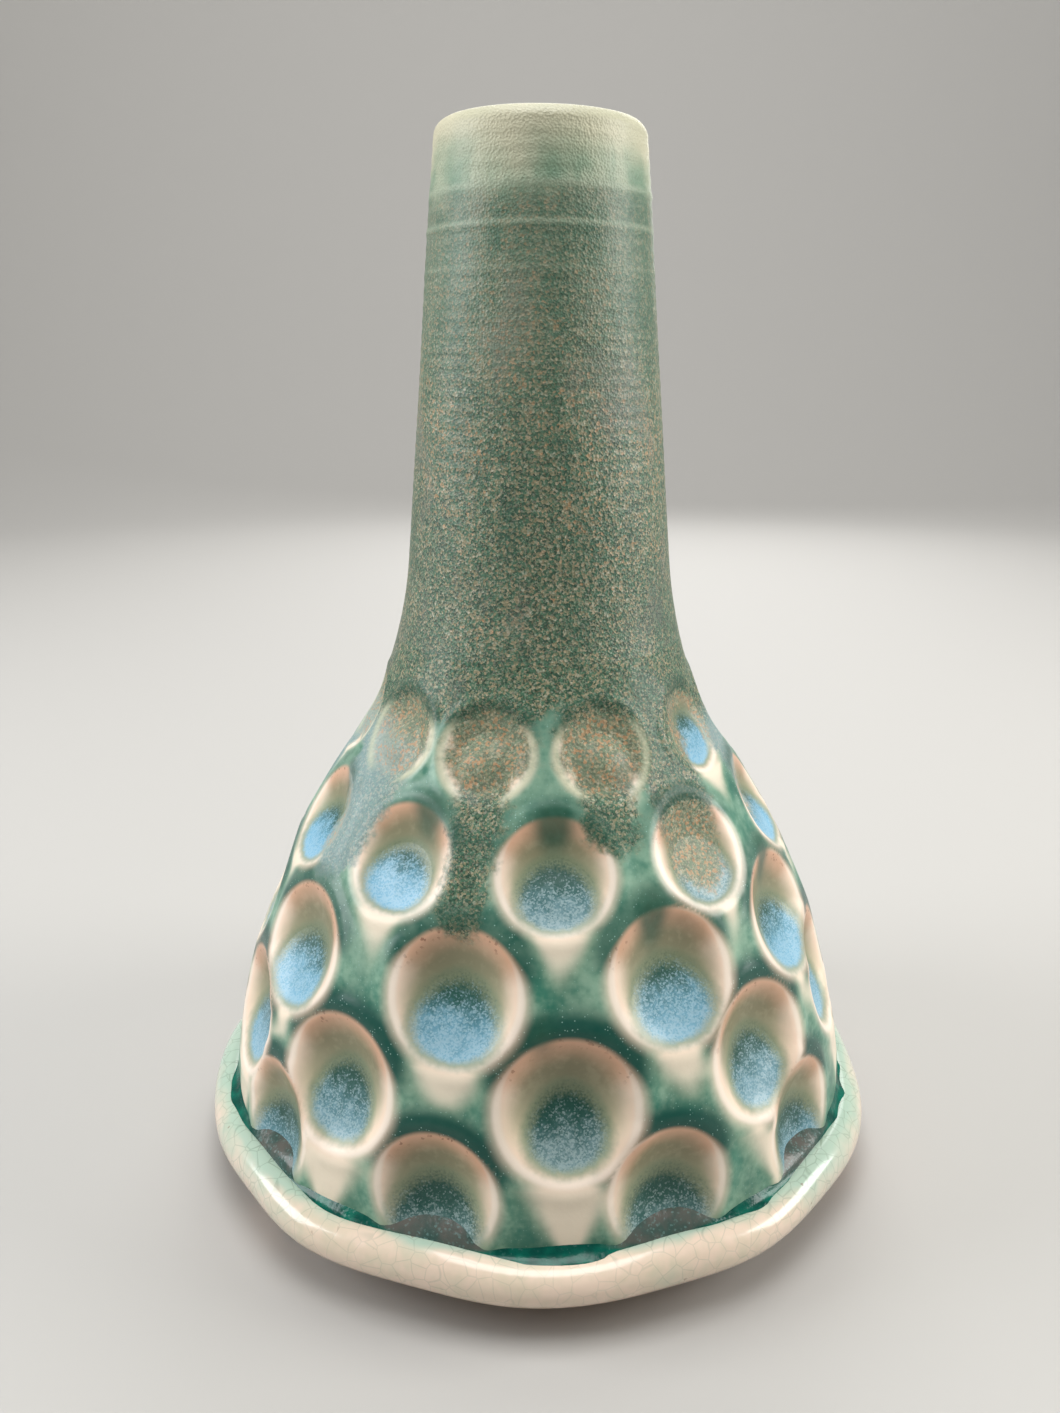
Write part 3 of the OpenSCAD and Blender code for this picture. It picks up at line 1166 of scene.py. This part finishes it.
    def material(self, kiln: Kiln) -> bpy.types.Material:
        """The whole finish of the bell, or of the glass in its dimples, which is the same glaze run together.

        Args:
            kiln: which of the two.

        Returns:
            The material.
        """
        bench = Bench(kiln.value)
        colour, glass = self.colour(bench)
        grit = bench.felt("cover").ease(-1.0, 2.0)
        pits, _ = bench.cells(0.62)
        roughness = 0.36 + grit * 0.18
        if kiln is Kiln.BELL:
            relief = bench.noise(0.5, 2) * 0.5 + bench.noise(2.6, 2) * 0.8
            normal = bench.bump(relief * (1 - glass * 0.6), 0.035)
            roughness = roughness + (bench.noise(4, 2) - 0.5) * 0.08
        else:
            normal = bench.bump(bench.noise(0.45, 2), 0.03)
        return bench.finish(
            Base_Color=colour,
            Roughness=roughness,
            Normal=bench.bump(pits * grit, 0.10, normal),
            Specular_IOR_Level=0.3,
            Coat_Weight=0.12,
            Coat_Roughness=0.15,
        )


@dataclass(frozen=True)
class RimGlaze:
    """Glossy cream glaze with a fine crackle, tinted green where it is thick and, on its upper part, towards the
    left and right sides.
    """

    cream: tuple[Colour, Colour] = (tone(232, 210, 190), tone(218, 204, 180))
    celadon: Colour = tone(164, 198, 182)
    clay: Colour = tone(196, 158, 136)
    crack: Colour = tone(130, 148, 128)
    speck: Colour = tone(126, 84, 66)
    groove: Colour = tone(20, 92, 80)

    def material(self) -> bpy.types.Material:
        """The whole finish."""
        bench = Bench("rim_glaze")
        thick, under, groove = bench.felt("thick"), bench.felt("under"), bench.felt("groove")
        cloud, mottle = bench.noise(8, 3), bench.noise(2.0, 3)
        crackle = bench.crackle(2.6)
        _, dot = bench.cells(0.5)
        lines = crackle.ease(0.045, 0.0)
        colour = bench.mix((cloud * 0.6 + mottle * 0.4).ease(0.35, 0.68), *self.cream)
        colour = bench.mix((thick + (cloud - 0.5) * 0.9).ease(0.2, 0.85) * 0.8, colour, self.celadon)
        colour = bench.mix((under + (mottle - 0.5) * 0.4).ease(0.3, 0.9) * 0.6, colour, self.clay)
        colour = bench.mix(lines * 0.4 * (0.35 + thick), colour, self.crack)
        colour = bench.mix(dot.ease(0.992, 0.997) * cloud.ease(0.5, 0.6) * 0.5, colour, self.speck)
        colour = bench.mix((groove + (mottle - 0.5) * 0.5).ease(0.3, 0.8), colour, self.groove)
        return bench.finish(
            Base_Color=colour,
            Roughness=0.24,
            Normal=bench.bump(1 - lines, 0.006, bench.bump(bench.noise(3, 2), 0.10)),
            Specular_IOR_Level=0.45,
            Coat_Weight=0.45,
            Coat_Roughness=0.1,
        )


@dataclass(frozen=True)
class GutterGlass:
    """Deep emerald glass with small crystals, greyer in front of the lowest dimples."""

    emerald: tuple[Colour, Colour] = (tone(0, 70, 60), tone(4, 104, 86))
    grey: tuple[Colour, Colour] = (tone(58, 84, 78), tone(96, 94, 88))
    crystal: Colour = tone(120, 160, 156)

    def material(self) -> bpy.types.Material:
        """The whole finish."""
        bench = Bench("gutter_glass")
        cup, cloud = bench.felt("cup"), bench.noise(3.5, 3)
        _, crystal = bench.cells(0.3)
        emerald = bench.mix(cloud.ease(0.35, 0.7), *self.emerald)
        grey = bench.mix(cloud.ease(0.3, 0.7), *self.grey)
        colour = bench.mix((cup + (cloud - 0.5) * 0.6).ease(0.3, 0.8), emerald, grey)
        colour = bench.mix((crystal + cup * 0.15).ease(0.94, 1.15) * 0.35, colour, self.crystal)
        return bench.finish(
            Base_Color=colour,
            Roughness=0.22,
            Normal=bench.bump(bench.noise(0.8, 2), 0.08),
            Specular_IOR_Level=0.25,
            Coat_Weight=0.10,
            Coat_Roughness=0.05,
        )


@dataclass(frozen=True)
class FloorClay:
    """Bare fired clay with fine grog."""

    clay: tuple[Colour, Colour] = (tone(204, 172, 140), tone(186, 152, 120))
    speck: Colour = tone(112, 78, 56)

    def material(self) -> bpy.types.Material:
        """The whole finish."""
        bench = Bench("floor_clay")
        colour = bench.mix(bench.noise(10, 3).ease(0.3, 0.7), *self.clay)
        _, speck = bench.cells(0.9)
        return bench.finish(
            Base_Color=bench.mix(speck.ease(0.9, 0.97) * 0.7, colour, self.speck),
            Roughness=0.85,
            Normal=bench.bump(bench.noise(0.7, 3), 0.12),
            Specular_IOR_Level=0.3,
        )


@dataclass(frozen=True)
class FootClay:
    """Peach clay under thin glaze, wiped bare on the sole."""

    bare: tuple[Colour, Colour] = (tone(196, 160, 128), tone(174, 136, 106))
    thin: tuple[Colour, Colour] = (tone(214, 172, 146), tone(226, 192, 166))

    def material(self) -> bpy.types.Material:
        """The whole finish."""
        bench = Bench("foot_clay")
        cloud, grog = bench.noise(4, 3), bench.noise(0.7, 3)
        glazed = (bench.height + (cloud - 0.5) * 1.5).ease(0.6, 1.6)
        thin = bench.mix(cloud.ease(0.3, 0.7), *self.thin)
        return bench.finish(
            Base_Color=bench.mix(glazed, bench.mix(grog, *self.bare), thin),
            Roughness=0.8 - glazed * 0.5,
            Normal=bench.bump(grog, 0.08),
            Specular_IOR_Level=0.45,
            Coat_Weight=glazed * 0.4,
            Coat_Roughness=0.15,
        )


@dataclass(frozen=True)
class LinerGlaze:
    """Plain pale celadon with a wide crackle."""

    celadon: tuple[Colour, Colour] = (tone(146, 166, 144), tone(172, 188, 164))
    crack: Colour = tone(110, 126, 108)

    def material(self) -> bpy.types.Material:
        """The whole finish."""
        bench = Bench("liner_glass")
        cloud = bench.noise(9, 3)
        crackle = bench.crackle(4.0)
        colour = bench.mix(cloud.ease(0.3, 0.7), *self.celadon)
        return bench.finish(
            Base_Color=bench.mix(crackle.ease(0.03, 0.0) * 0.25, colour, self.crack),
            Roughness=0.2,
            Normal=bench.bump(cloud, 0.2),
            Specular_IOR_Level=0.5,
            Coat_Weight=0.5,
            Coat_Roughness=0.08,
        )


# ---------------------------------------------------------------------------------------------
# The vase's pieces
# ---------------------------------------------------------------------------------------------


def arc(centre: tuple[float, float], radius: float, start: float, end: float, steps: int) -> np.ndarray:
    """Points along an arc in the side view, with angles in degrees."""
    turn = np.radians(np.linspace(start, end, steps + 1))
    return np.stack([centre[0] + radius * np.cos(turn), centre[1] + radius * np.sin(turn)], 1)


@dataclass
class Bell:
    """The dimpled bell."""

    line: WallLine
    dimples: DimpleField
    seam_z: float
    seam_fade: float = 3.0
    turns: int = 420
    outer_rows: int = 158
    inner_rows: int = 34

    def section(self) -> np.ndarray:
        """The wall's closed section before it is pressed."""
        z_out = np.linspace(self.line.base_top, self.seam_z, self.outer_rows)
        z_in = np.linspace(self.seam_z, self.line.base_top, self.inner_rows)
        outer = np.stack([self.line.radius(z_out), z_out], 1)
        inner = np.stack([self.line.radius(z_in, self.line.wall), z_in], 1)
        return np.concatenate([outer, inner])

    def build(self) -> bpy.types.Object:
        """Turns the wall, presses the dimples and paints what the glaze follows."""
        piece = turned("bell", self.section(), self.turns)
        points = points_of(piece)
        outside = felt_at(piece, "row") < self.outer_rows - 0.5
        sunk = np.where(outside, self.dimples.sink(points, False), self.dimples.sink(points, True))
        sunk *= climb(points[:, 2], self.seam_z, -self.seam_fade)
        lay(piece, points - self.line.normals(points) * sunk[:, None])
        paint(piece, self.dimples.glaze(points))
        smooth(piece)
        settle(piece, WallGlaze().material(Kiln.BELL), "bell_glaze", "bell_wall")
        return piece


@dataclass
class Neck:
    """The tall thrown neck with a rounded lip."""

    line: WallLine
    seam_z: float
    turns: int = 240
    rows: int = 150
    lip_steps: int = 16
    uneven: float = 0.10
    spiral: float = 0.035
    spiral_pitch: float = 2.1
    spiral_foot: float = 100.0
    inner_ridge: float = 0.12
    inner_pitch: float = 6.5
    seam_fade: float = 4.0
    lip_round: float = 2.5
    lip_dip: float = 0.16

    def section(self) -> np.ndarray:
        """The neck's closed section, with a full round on the lip."""
        half = self.line.wall / 2 / math.cos(self.line.lean)
        centre = (self.line.lip_radius + half * math.tan(self.line.lean) - half, self.line.total_h - half)
        z_out = np.linspace(self.seam_z, centre[1], self.rows)
        z_in = np.linspace(centre[1], self.seam_z, self.rows // 4)
        outer = np.stack([self.line.radius(z_out), z_out], 1)
        inner = np.stack([self.line.radius(z_in, self.line.wall), z_in], 1)
        return np.concatenate([outer[:-1], arc(centre, half, 0, 180, self.lip_steps), inner[1:]])

    def build(self) -> bpy.types.Object:
        """Turns the neck and raises its throwing ridges."""
        piece = turned("neck_tube", self.section(), self.turns)
        points = points_of(piece)
        z, degrees = points[:, 2], angles_of(points)
        turn = np.radians(degrees)
        outside = felt_at(piece, "row") < self.rows + 4
        relief = self.uneven * ripple(points, 30, 5)
        for ridge in THROWING_RIDGES:
            relief += ridge.relief * np.exp(-(((z - ridge.z) / ridge.width) ** 2))
        thread = np.sin((z / self.spiral_pitch + turn / math.tau) * math.tau)
        spiral = self.spiral * thread * climb(z, self.spiral_foot, 20)
        inner = self.inner_ridge * np.sin((z / self.inner_pitch + turn / math.tau) * math.tau)
        relief = np.where(outside, relief + spiral, inner) * climb(z, self.seam_z, self.seam_fade)
        lip = climb(z, self.line.total_h, -self.lip_round)
        moved = points + level_out(degrees) * (relief * lip)[:, None]
        moved[:, 2] -= self.lip_dip * (1 - lip) * (1 + np.sin(turn * 2 + 0.7)) / 2
        lay(piece, moved)
        smooth(piece)
        settle(piece, SpeckledGlaze().material(), "neck_glaze", "neck")
        return piece


@dataclass
class Base:
    """The floor slab, the rolled rim round it, the feet and the glass in the groove."""

    line: WallLine
    foot_h: float
    floor_r: float
    roll_r: float = 3.25
    roll_reach: float = 56.75
    pinch: float = 0.95
    lift: float = 0.9
    pinch_angle: float = 11.5
    shelf_drop: float = 0.4
    glass_drop: float = 0.6
    glass_back: float = 0.7
    glass_outline: tuple[tuple[float, float], ...] = (
        (-1, 0), (1.6, 0), (2.2, 0.25), (1.8, 0.55), (1.3, 0.7), (0.8, 0.95), (0.4, 1.3), (0, 1.75), (-0.5, 2.3),
        (-1.0, 2.7), (-1.6, 3.1), (-2.4, 3.5),
    )
    glass_top: float = 4.0
    trim_pitch: float = 3.1
    trim_depth: float = 0.22
    foot_angles: tuple[float, ...] = (-49, 71, 191)
    foot_reach: float = 48.0
    foot_r: float = 8.0
    foot_sink: float = 0.3
    foot_round: float = 2.9

    def pressed(self, degrees: np.ndarray) -> np.ndarray:
        """How much the rim is pinched at an angle: 1 in front of each dimple of the lowest ring."""
        total = np.zeros(len(degrees))
        for angle in DIMPLE_RINGS[0].angles:
            away = (degrees - angle + 180) % 360 - 180
            total += np.exp(-((away / self.pinch_angle) ** 2))
        return total

    def rim(self) -> bpy.types.Object:
        """The rolled rim: turned, then pinched in and up in front of each lowest dimple."""
        middle = self.foot_h + self.roll_r
        centre = (self.roll_reach, middle)
        flat = np.stack([np.linspace(self.floor_r, centre[0], 5)[:-1], np.full(4, self.foot_h)], 1)
        roll = arc(centre, self.roll_r, -90, 128, 30)
        shelf_z = self.line.base_top - self.shelf_drop
        shelf = np.stack([np.linspace(roll[-1, 0] - 0.5, self.floor_r, 4), np.full(4, shelf_z)], 1)
        side = np.array([[self.floor_r, middle]])
        piece = turned("rolled_rim", np.concatenate([flat, roll, shelf, side]), 400)
        points = points_of(piece)
        reach, degrees = reach_of(points), angles_of(points)
        pinched = self.pressed(degrees)
        free = climb(reach, self.floor_r + 0.5, 2.5)
        high = climb(points[:, 2], self.foot_h, 2 * self.roll_r)
        out = (-self.pinch * pinched + 0.22 * ripple(points, 34, 11)) * free
        rise = (self.lift * pinched * (0.25 + 0.75 * high) + 0.12 * ripple(points, 28, 12)) * free
        moved = points + level_out(degrees) * out[:, None]
        moved[:, 2] = np.maximum(moved[:, 2] + rise, self.foot_h - 0.2)
        lay(piece, moved)
        over = climb(points[:, 2], middle, self.roll_r) * climb(reach, self.roll_reach + 1.6, -3.0)
        # Greener on the upper roll towards the left and right, as seen from the front.
        sides = climb(np.abs(np.sin(np.radians(degrees))), 0.45, 0.4)
        paint(piece, {
            "thick": over * (0.45 + 0.55 * pinched) + 0.25 * pinched + 0.55 * high * sides,
            "under": climb(points[:, 2], middle, -self.roll_r),
            "groove": climb(reach, self.roll_reach - 1.2, -0.9) * (points[:, 2] > middle),
        })
        smooth(piece, 60)
        settle(piece, RimGlaze().material(), "rim_glaze", "base_rim")
        return piece

    def gutter(self) -> bpy.types.Object:
        """Glass in the groove between the bell's foot and the roll, standing deeper in the lowest dimples."""
        bottom = self.line.base_top - self.glass_drop
        foot = self.line.foot_radius
        inner = foot - self.line.wall + self.glass_back
        outline = np.array([(foot, bottom)]) + np.array(self.glass_outline)
        section = np.concatenate([[[inner, bottom]], outline, [[inner, bottom + self.glass_top]]])
        piece = turned("gutter_glass", section, 360)
        points = points_of(piece)
        reach, degrees = reach_of(points), angles_of(points)
        pinched = self.pressed(degrees)
        upper = points[:, 2] > bottom + 0.1
        outer = climb(reach, foot, 1.5)
        moved = points - level_out(degrees) * (pinched * self.pinch * 0.9 * outer)[:, None]
        moved[:, 2] += upper * (0.18 * ripple(points, 9, 21) + 0.35 * pinched * outer)
        lay(piece, moved)
        paint(piece, {"cup": pinched * climb(reach, foot + 1.2, -1.0)})
        smooth(piece, 70)
        settle(piece, GutterGlass().material(), "gutter_glass", "gutter_glaze")
        return piece

    def floor(self) -> bpy.types.Object:
        """The floor slab, with trimming rings underneath."""
        reach = np.linspace(0, self.floor_r, 90)
        trim = self.trim_depth * (1 - np.cos(reach / self.trim_pitch * math.tau))
        under = np.stack([reach, self.foot_h + trim * climb(reach, self.floor_r, -6)], 1)
        top = np.stack([np.linspace(self.floor_r, 0, 12), np.full(12, self.line.base_top)], 1)
        piece = turned("floor_slab", np.concatenate([under, top]), 180, poles=True)
        smooth(piece, 40)
        settle(piece, FloorClay().material(), "floor_clay", "base_floor")
        return piece

    def feet(self) -> bpy.types.Object:
        """Three pads of clay, pressed on by hand."""
        pads = []
        for number, angle in enumerate(self.foot_angles):
            turn = math.radians(angle)
            spot = np.array([self.foot_reach * math.sin(turn), -self.foot_reach * math.cos(turn)])
            bpy.ops.object.select_all(action="DESELECT")
            height = self.foot_h + self.foot_sink
            bpy.ops.mesh.primitive_cylinder_add(
                vertices=40, radius=self.foot_r * MM, depth=height * MM,
                location=(spot[0] * MM, spot[1] * MM, height / 2 * MM),
            )
            pad = bpy.context.object
            bpy.ops.object.transform_apply(location=True)
            with edit_mode(pad):
                bpy.ops.mesh.select_all(action="DESELECT")
                bpy.ops.mesh.select_mode(type="FACE")
                bpy.ops.object.mode_set(mode="OBJECT")
                for face in pad.data.polygons:
                    face.select = face.normal.z < -0.9
                bpy.ops.object.mode_set(mode="EDIT")
                bpy.ops.mesh.bevel(offset=self.foot_round * MM, segments=8, affect="EDGES")
                bpy.ops.mesh.select_all(action="SELECT")
                bpy.ops.mesh.quads_convert_to_tris()
            extra = pad.modifiers.new("finer", "SUBSURF")
            extra.subdivision_type = "SIMPLE"
            extra.levels = extra.render_levels = 1
            pick(pad)
            bpy.ops.object.modifier_apply(modifier=extra.name)
            points = points_of(pad)
            away = points[:, :2] - spot
            swell = 1 + 0.03 * ripple(points, 14, 31 + number) * np.clip(points[:, 2] / 2, 0, 1)
            points[:, :2] = spot + away * swell[:, None]
            lay(pad, points)
            pads.append(pad)
        piece = joined("feet_pads", pads)
        smooth(piece, 60)
        settle(piece, FootClay().material(), "foot_clay", "feet")
        return piece


@dataclass
class PoolGlass:
    """The glass that stands in the dimples, one body in each."""

    dimples: DimpleField
    depth: float = 1.0
    sunk: float = 0.35
    spread: float = 1.04
    fill: float = 1.7
    bed: float = 0.04

    def lens(self, press: Press) -> bpy.types.Object:
        """One body of glass: a flattened ball laid into its dimple.

        Args:
            press: the dimple.

        Returns:
            The body.
        """
        bpy.ops.object.select_all(action="DESELECT")
        bpy.ops.mesh.primitive_uv_sphere_add(segments=36, ring_count=20, radius=MM, location=(0, 0, 0))
        body = bpy.context.object
        ball = points_of(body)
        rule = press.rule
        x = ball[:, 0] * rule.pool_half_width * self.spread * (1 - EGG_TAPER * ball[:, 1])
        y = rule.pool_centre + ball[:, 1] * rule.pool_half_height * self.spread
        u, v = x * press.half, y * press.half
        full = self.depth * (self.fill if press.filled else 1.0)
        thick = np.where(ball[:, 2] > 0, full * ball[:, 2] ** 4, self.sunk * ball[:, 2])
        w = self.dimples.bowl(press, u, v)
        wall = press.spot + u[:, None] * press.side + v[:, None] * press.up + w[:, None] * press.out
        wall = self.dimples.onto_wall(wall)
        seat = wall - self.dimples.line.normals(wall) * self.dimples.sink(wall, False)[:, None]
        lay(body, seat + press.out * (thick - self.bed)[:, None])
        paint(body, self.dimples.glaze(wall))
        return body

    def build(self) -> bpy.types.Object:
        """All the bodies, joined as one piece."""
        bodies = [self.lens(press) for press in self.dimples.presses if press.ring > 0]
        piece = joined("dimple_glass", bodies)
        smooth(piece, 80)
        settle(piece, WallGlaze().material(Kiln.POOL), "dimple_glass", "dimple_glaze")
        return piece


@dataclass
class Liner:
    """The thin glaze coat inside."""

    line: WallLine
    dimples: DimpleField
    coat: float = 0.6
    stop: float = 6.0
    gap: float = 0.02
    swell_top: float = 92.0
    turns: int = 180
    rows: int = 90
    floor_steps: int = 16

    def build(self) -> bpy.types.Object:
        """Turns the coat and lets it follow the swellings of the wall."""
        top = self.line.total_h - self.stop
        bottom = self.line.base_top
        z_out = np.linspace(bottom, top, self.rows)
        z_in = np.linspace(top, bottom + self.coat, self.rows)
        outer = np.stack([self.line.radius(z_out, self.line.wall) - self.gap, z_out], 1)
        inner = np.stack([self.line.radius(z_in, self.line.wall + self.coat), z_in], 1)
        edge = arc(((outer[-1, 0] + inner[0, 0]) / 2, top), self.coat / 2, 30, 150, 4)
        count = self.floor_steps - 1
        low = np.stack([np.linspace(0, outer[0, 0], count + 1)[:-1], np.full(count, bottom + self.gap)], 1)
        high = np.stack([np.linspace(inner[-1, 0], 0, count + 1)[1:], np.full(count, bottom + self.coat)], 1)
        piece = turned("inside_glaze", np.concatenate([low, outer, edge, inner, high]), self.turns, poles=True)
        points = points_of(piece)
        wall = climb(reach_of(points), self.line.radius(points[:, 2], self.line.wall + 3), 1.5)
        sunk = self.dimples.sink(points, True) * wall * (points[:, 2] < self.swell_top)
        lay(piece, points - self.line.normals(points) * sunk[:, None])
        smooth(piece, 60)
        settle(piece, LinerGlaze().material(), "liner_glass", "liner_glaze")
        return piece


# ---------------------------------------------------------------------------------------------
# Studio
# ---------------------------------------------------------------------------------------------


@dataclass(frozen=True)
class Softbox:
    """A square soft light."""

    name: str
    spot: tuple[float, float, float]
    aim: tuple[float, float, float]
    size: float
    watts: float
    colour: tuple[float, float, float] = (1.0, 1.0, 1.0)

    def place(self) -> None:
        """Adds the light and turns it to its aim."""
        light = bpy.data.lights.new(self.name, "AREA")
        light.shape = "SQUARE"
        light.size = self.size
        light.energy = self.watts
        light.color = self.colour
        lamp = bpy.data.objects.new(self.name, light)
        bpy.context.scene.collection.objects.link(lamp)
        lamp.location = self.spot
        lamp.rotation_euler = (Vector(self.aim) - Vector(self.spot)).to_track_quat("-Z", "Y").to_euler()


@dataclass(frozen=True)
class Studio:
    """The camera, the lights and the floor."""

    lens: float = 28.69
    distance: float = 187.2
    height: float = 134.65
    pitch: float = 16.7
    yaw: float = 0.43
    roll: float = 0.05
    flat: float = 900.0
    curve: float = 700.0
    wall: float = 1500.0
    grey: Colour = tone(184, 182, 178)
    surround: Colour = (0.86, 0.87, 0.88, 1.0)
    surround_strength: float = 0.32

    def camera(self) -> None:
        """Sets the camera close in front, looking down a little."""
        camera = bpy.data.objects.new("camera", bpy.data.cameras.new("camera"))
        bpy.context.scene.collection.objects.link(camera)
        camera.data.lens = self.lens
        camera.data.sensor_width = 36.0
        camera.data.clip_start = 0.01
        turn = (
            Matrix.Rotation(math.radians(self.yaw), 4, "Z")
            @ Matrix.Rotation(math.radians(90 - self.pitch), 4, "X")
            @ Matrix.Rotation(math.radians(self.roll), 4, "Z")
        )
        camera.matrix_world = Matrix.Translation((0, -self.distance * MM, self.height * MM)) @ turn
        bpy.context.scene.camera = camera

    def floor(self) -> None:
        """Adds a plain pale floor that rises in a wide curve all round, far from the vase."""
        top = np.array([[self.flat + self.curve, self.curve + self.wall]])
        sweep = arc((self.flat, self.curve), self.curve, -90, 0, 24)
        floor = turned("studio_floor", np.concatenate([[[0.0, 0.0]], sweep, top]), 96, poles=True)
        smooth(floor)
        bench = Bench("studio_floor")
        floor.data.materials.append(bench.finish(Base_Color=self.grey, Roughness=0.7))

    def lights(self) -> None:
        """Adds the soft lights and a pale surround."""
        aim = (0.0, 0.0, 0.08)
        for box in (
            Softbox("overhead", (0.0, -0.12, 0.72), aim, 0.4, 3.0),
            Softbox("left", (-0.62, -0.06, 0.34), aim, 0.35, 3.1, (0.96, 0.98, 1.0)),
            Softbox("right", (0.62, -0.02, 0.32), aim, 0.32, 3.1, (1.0, 0.99, 0.96)),
            Softbox("back", (0.1, 0.75, 0.45), aim, 0.5, 2.2),
            Softbox("backdrop", (0.0, 0.5, 1.1), (0.0, 1.4, 0.4), 0.6, 9.0),
        ):
            box.place()
        world = bpy.data.worlds.new("surround")
        bpy.context.scene.world = world
        world.use_nodes = True
        inputs = world.node_tree.nodes["Background"].inputs
        inputs["Color"].default_value = self.surround
        inputs["Strength"].default_value = self.surround_strength

    def build(self) -> None:
        """Sets up all of it."""
        self.camera()
        self.floor()
        self.lights()
        bpy.context.scene.view_settings.view_transform = "Standard"


def corners(node: str) -> tuple[np.ndarray, np.ndarray]:
    """A solid's lowest and highest corners in millimetres."""
    low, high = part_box(node)
    return np.array(low) / MM, np.array(high) / MM


def main() -> None:
    """Builds the studio and every piece of the vase, in order from the table up."""
    Studio().build()
    floor_low, floor_high = corners("base_floor")
    _, bell_high = corners("bell_wall")
    _, neck_high = corners("neck")
    line = WallLine(total_h=float(neck_high[2]), base_top=float(floor_high[2]))
    dimples = DimpleField(line)
    seam_z = float(bell_high[2])
    base = Base(line, foot_h=float(floor_low[2]), floor_r=float(floor_high[0]))
    for make in (
        base.feet, base.floor, base.rim, base.gutter, Bell(line, dimples, seam_z).build, Neck(line, seam_z).build,
        PoolGlass(dimples).build, Liner(line, dimples).build,
    ):
        piece = make()
        LOG.info("finished %s", piece.name)
    bpy.ops.object.select_all(action="DESELECT")


if __name__ == "__main__":
    main()
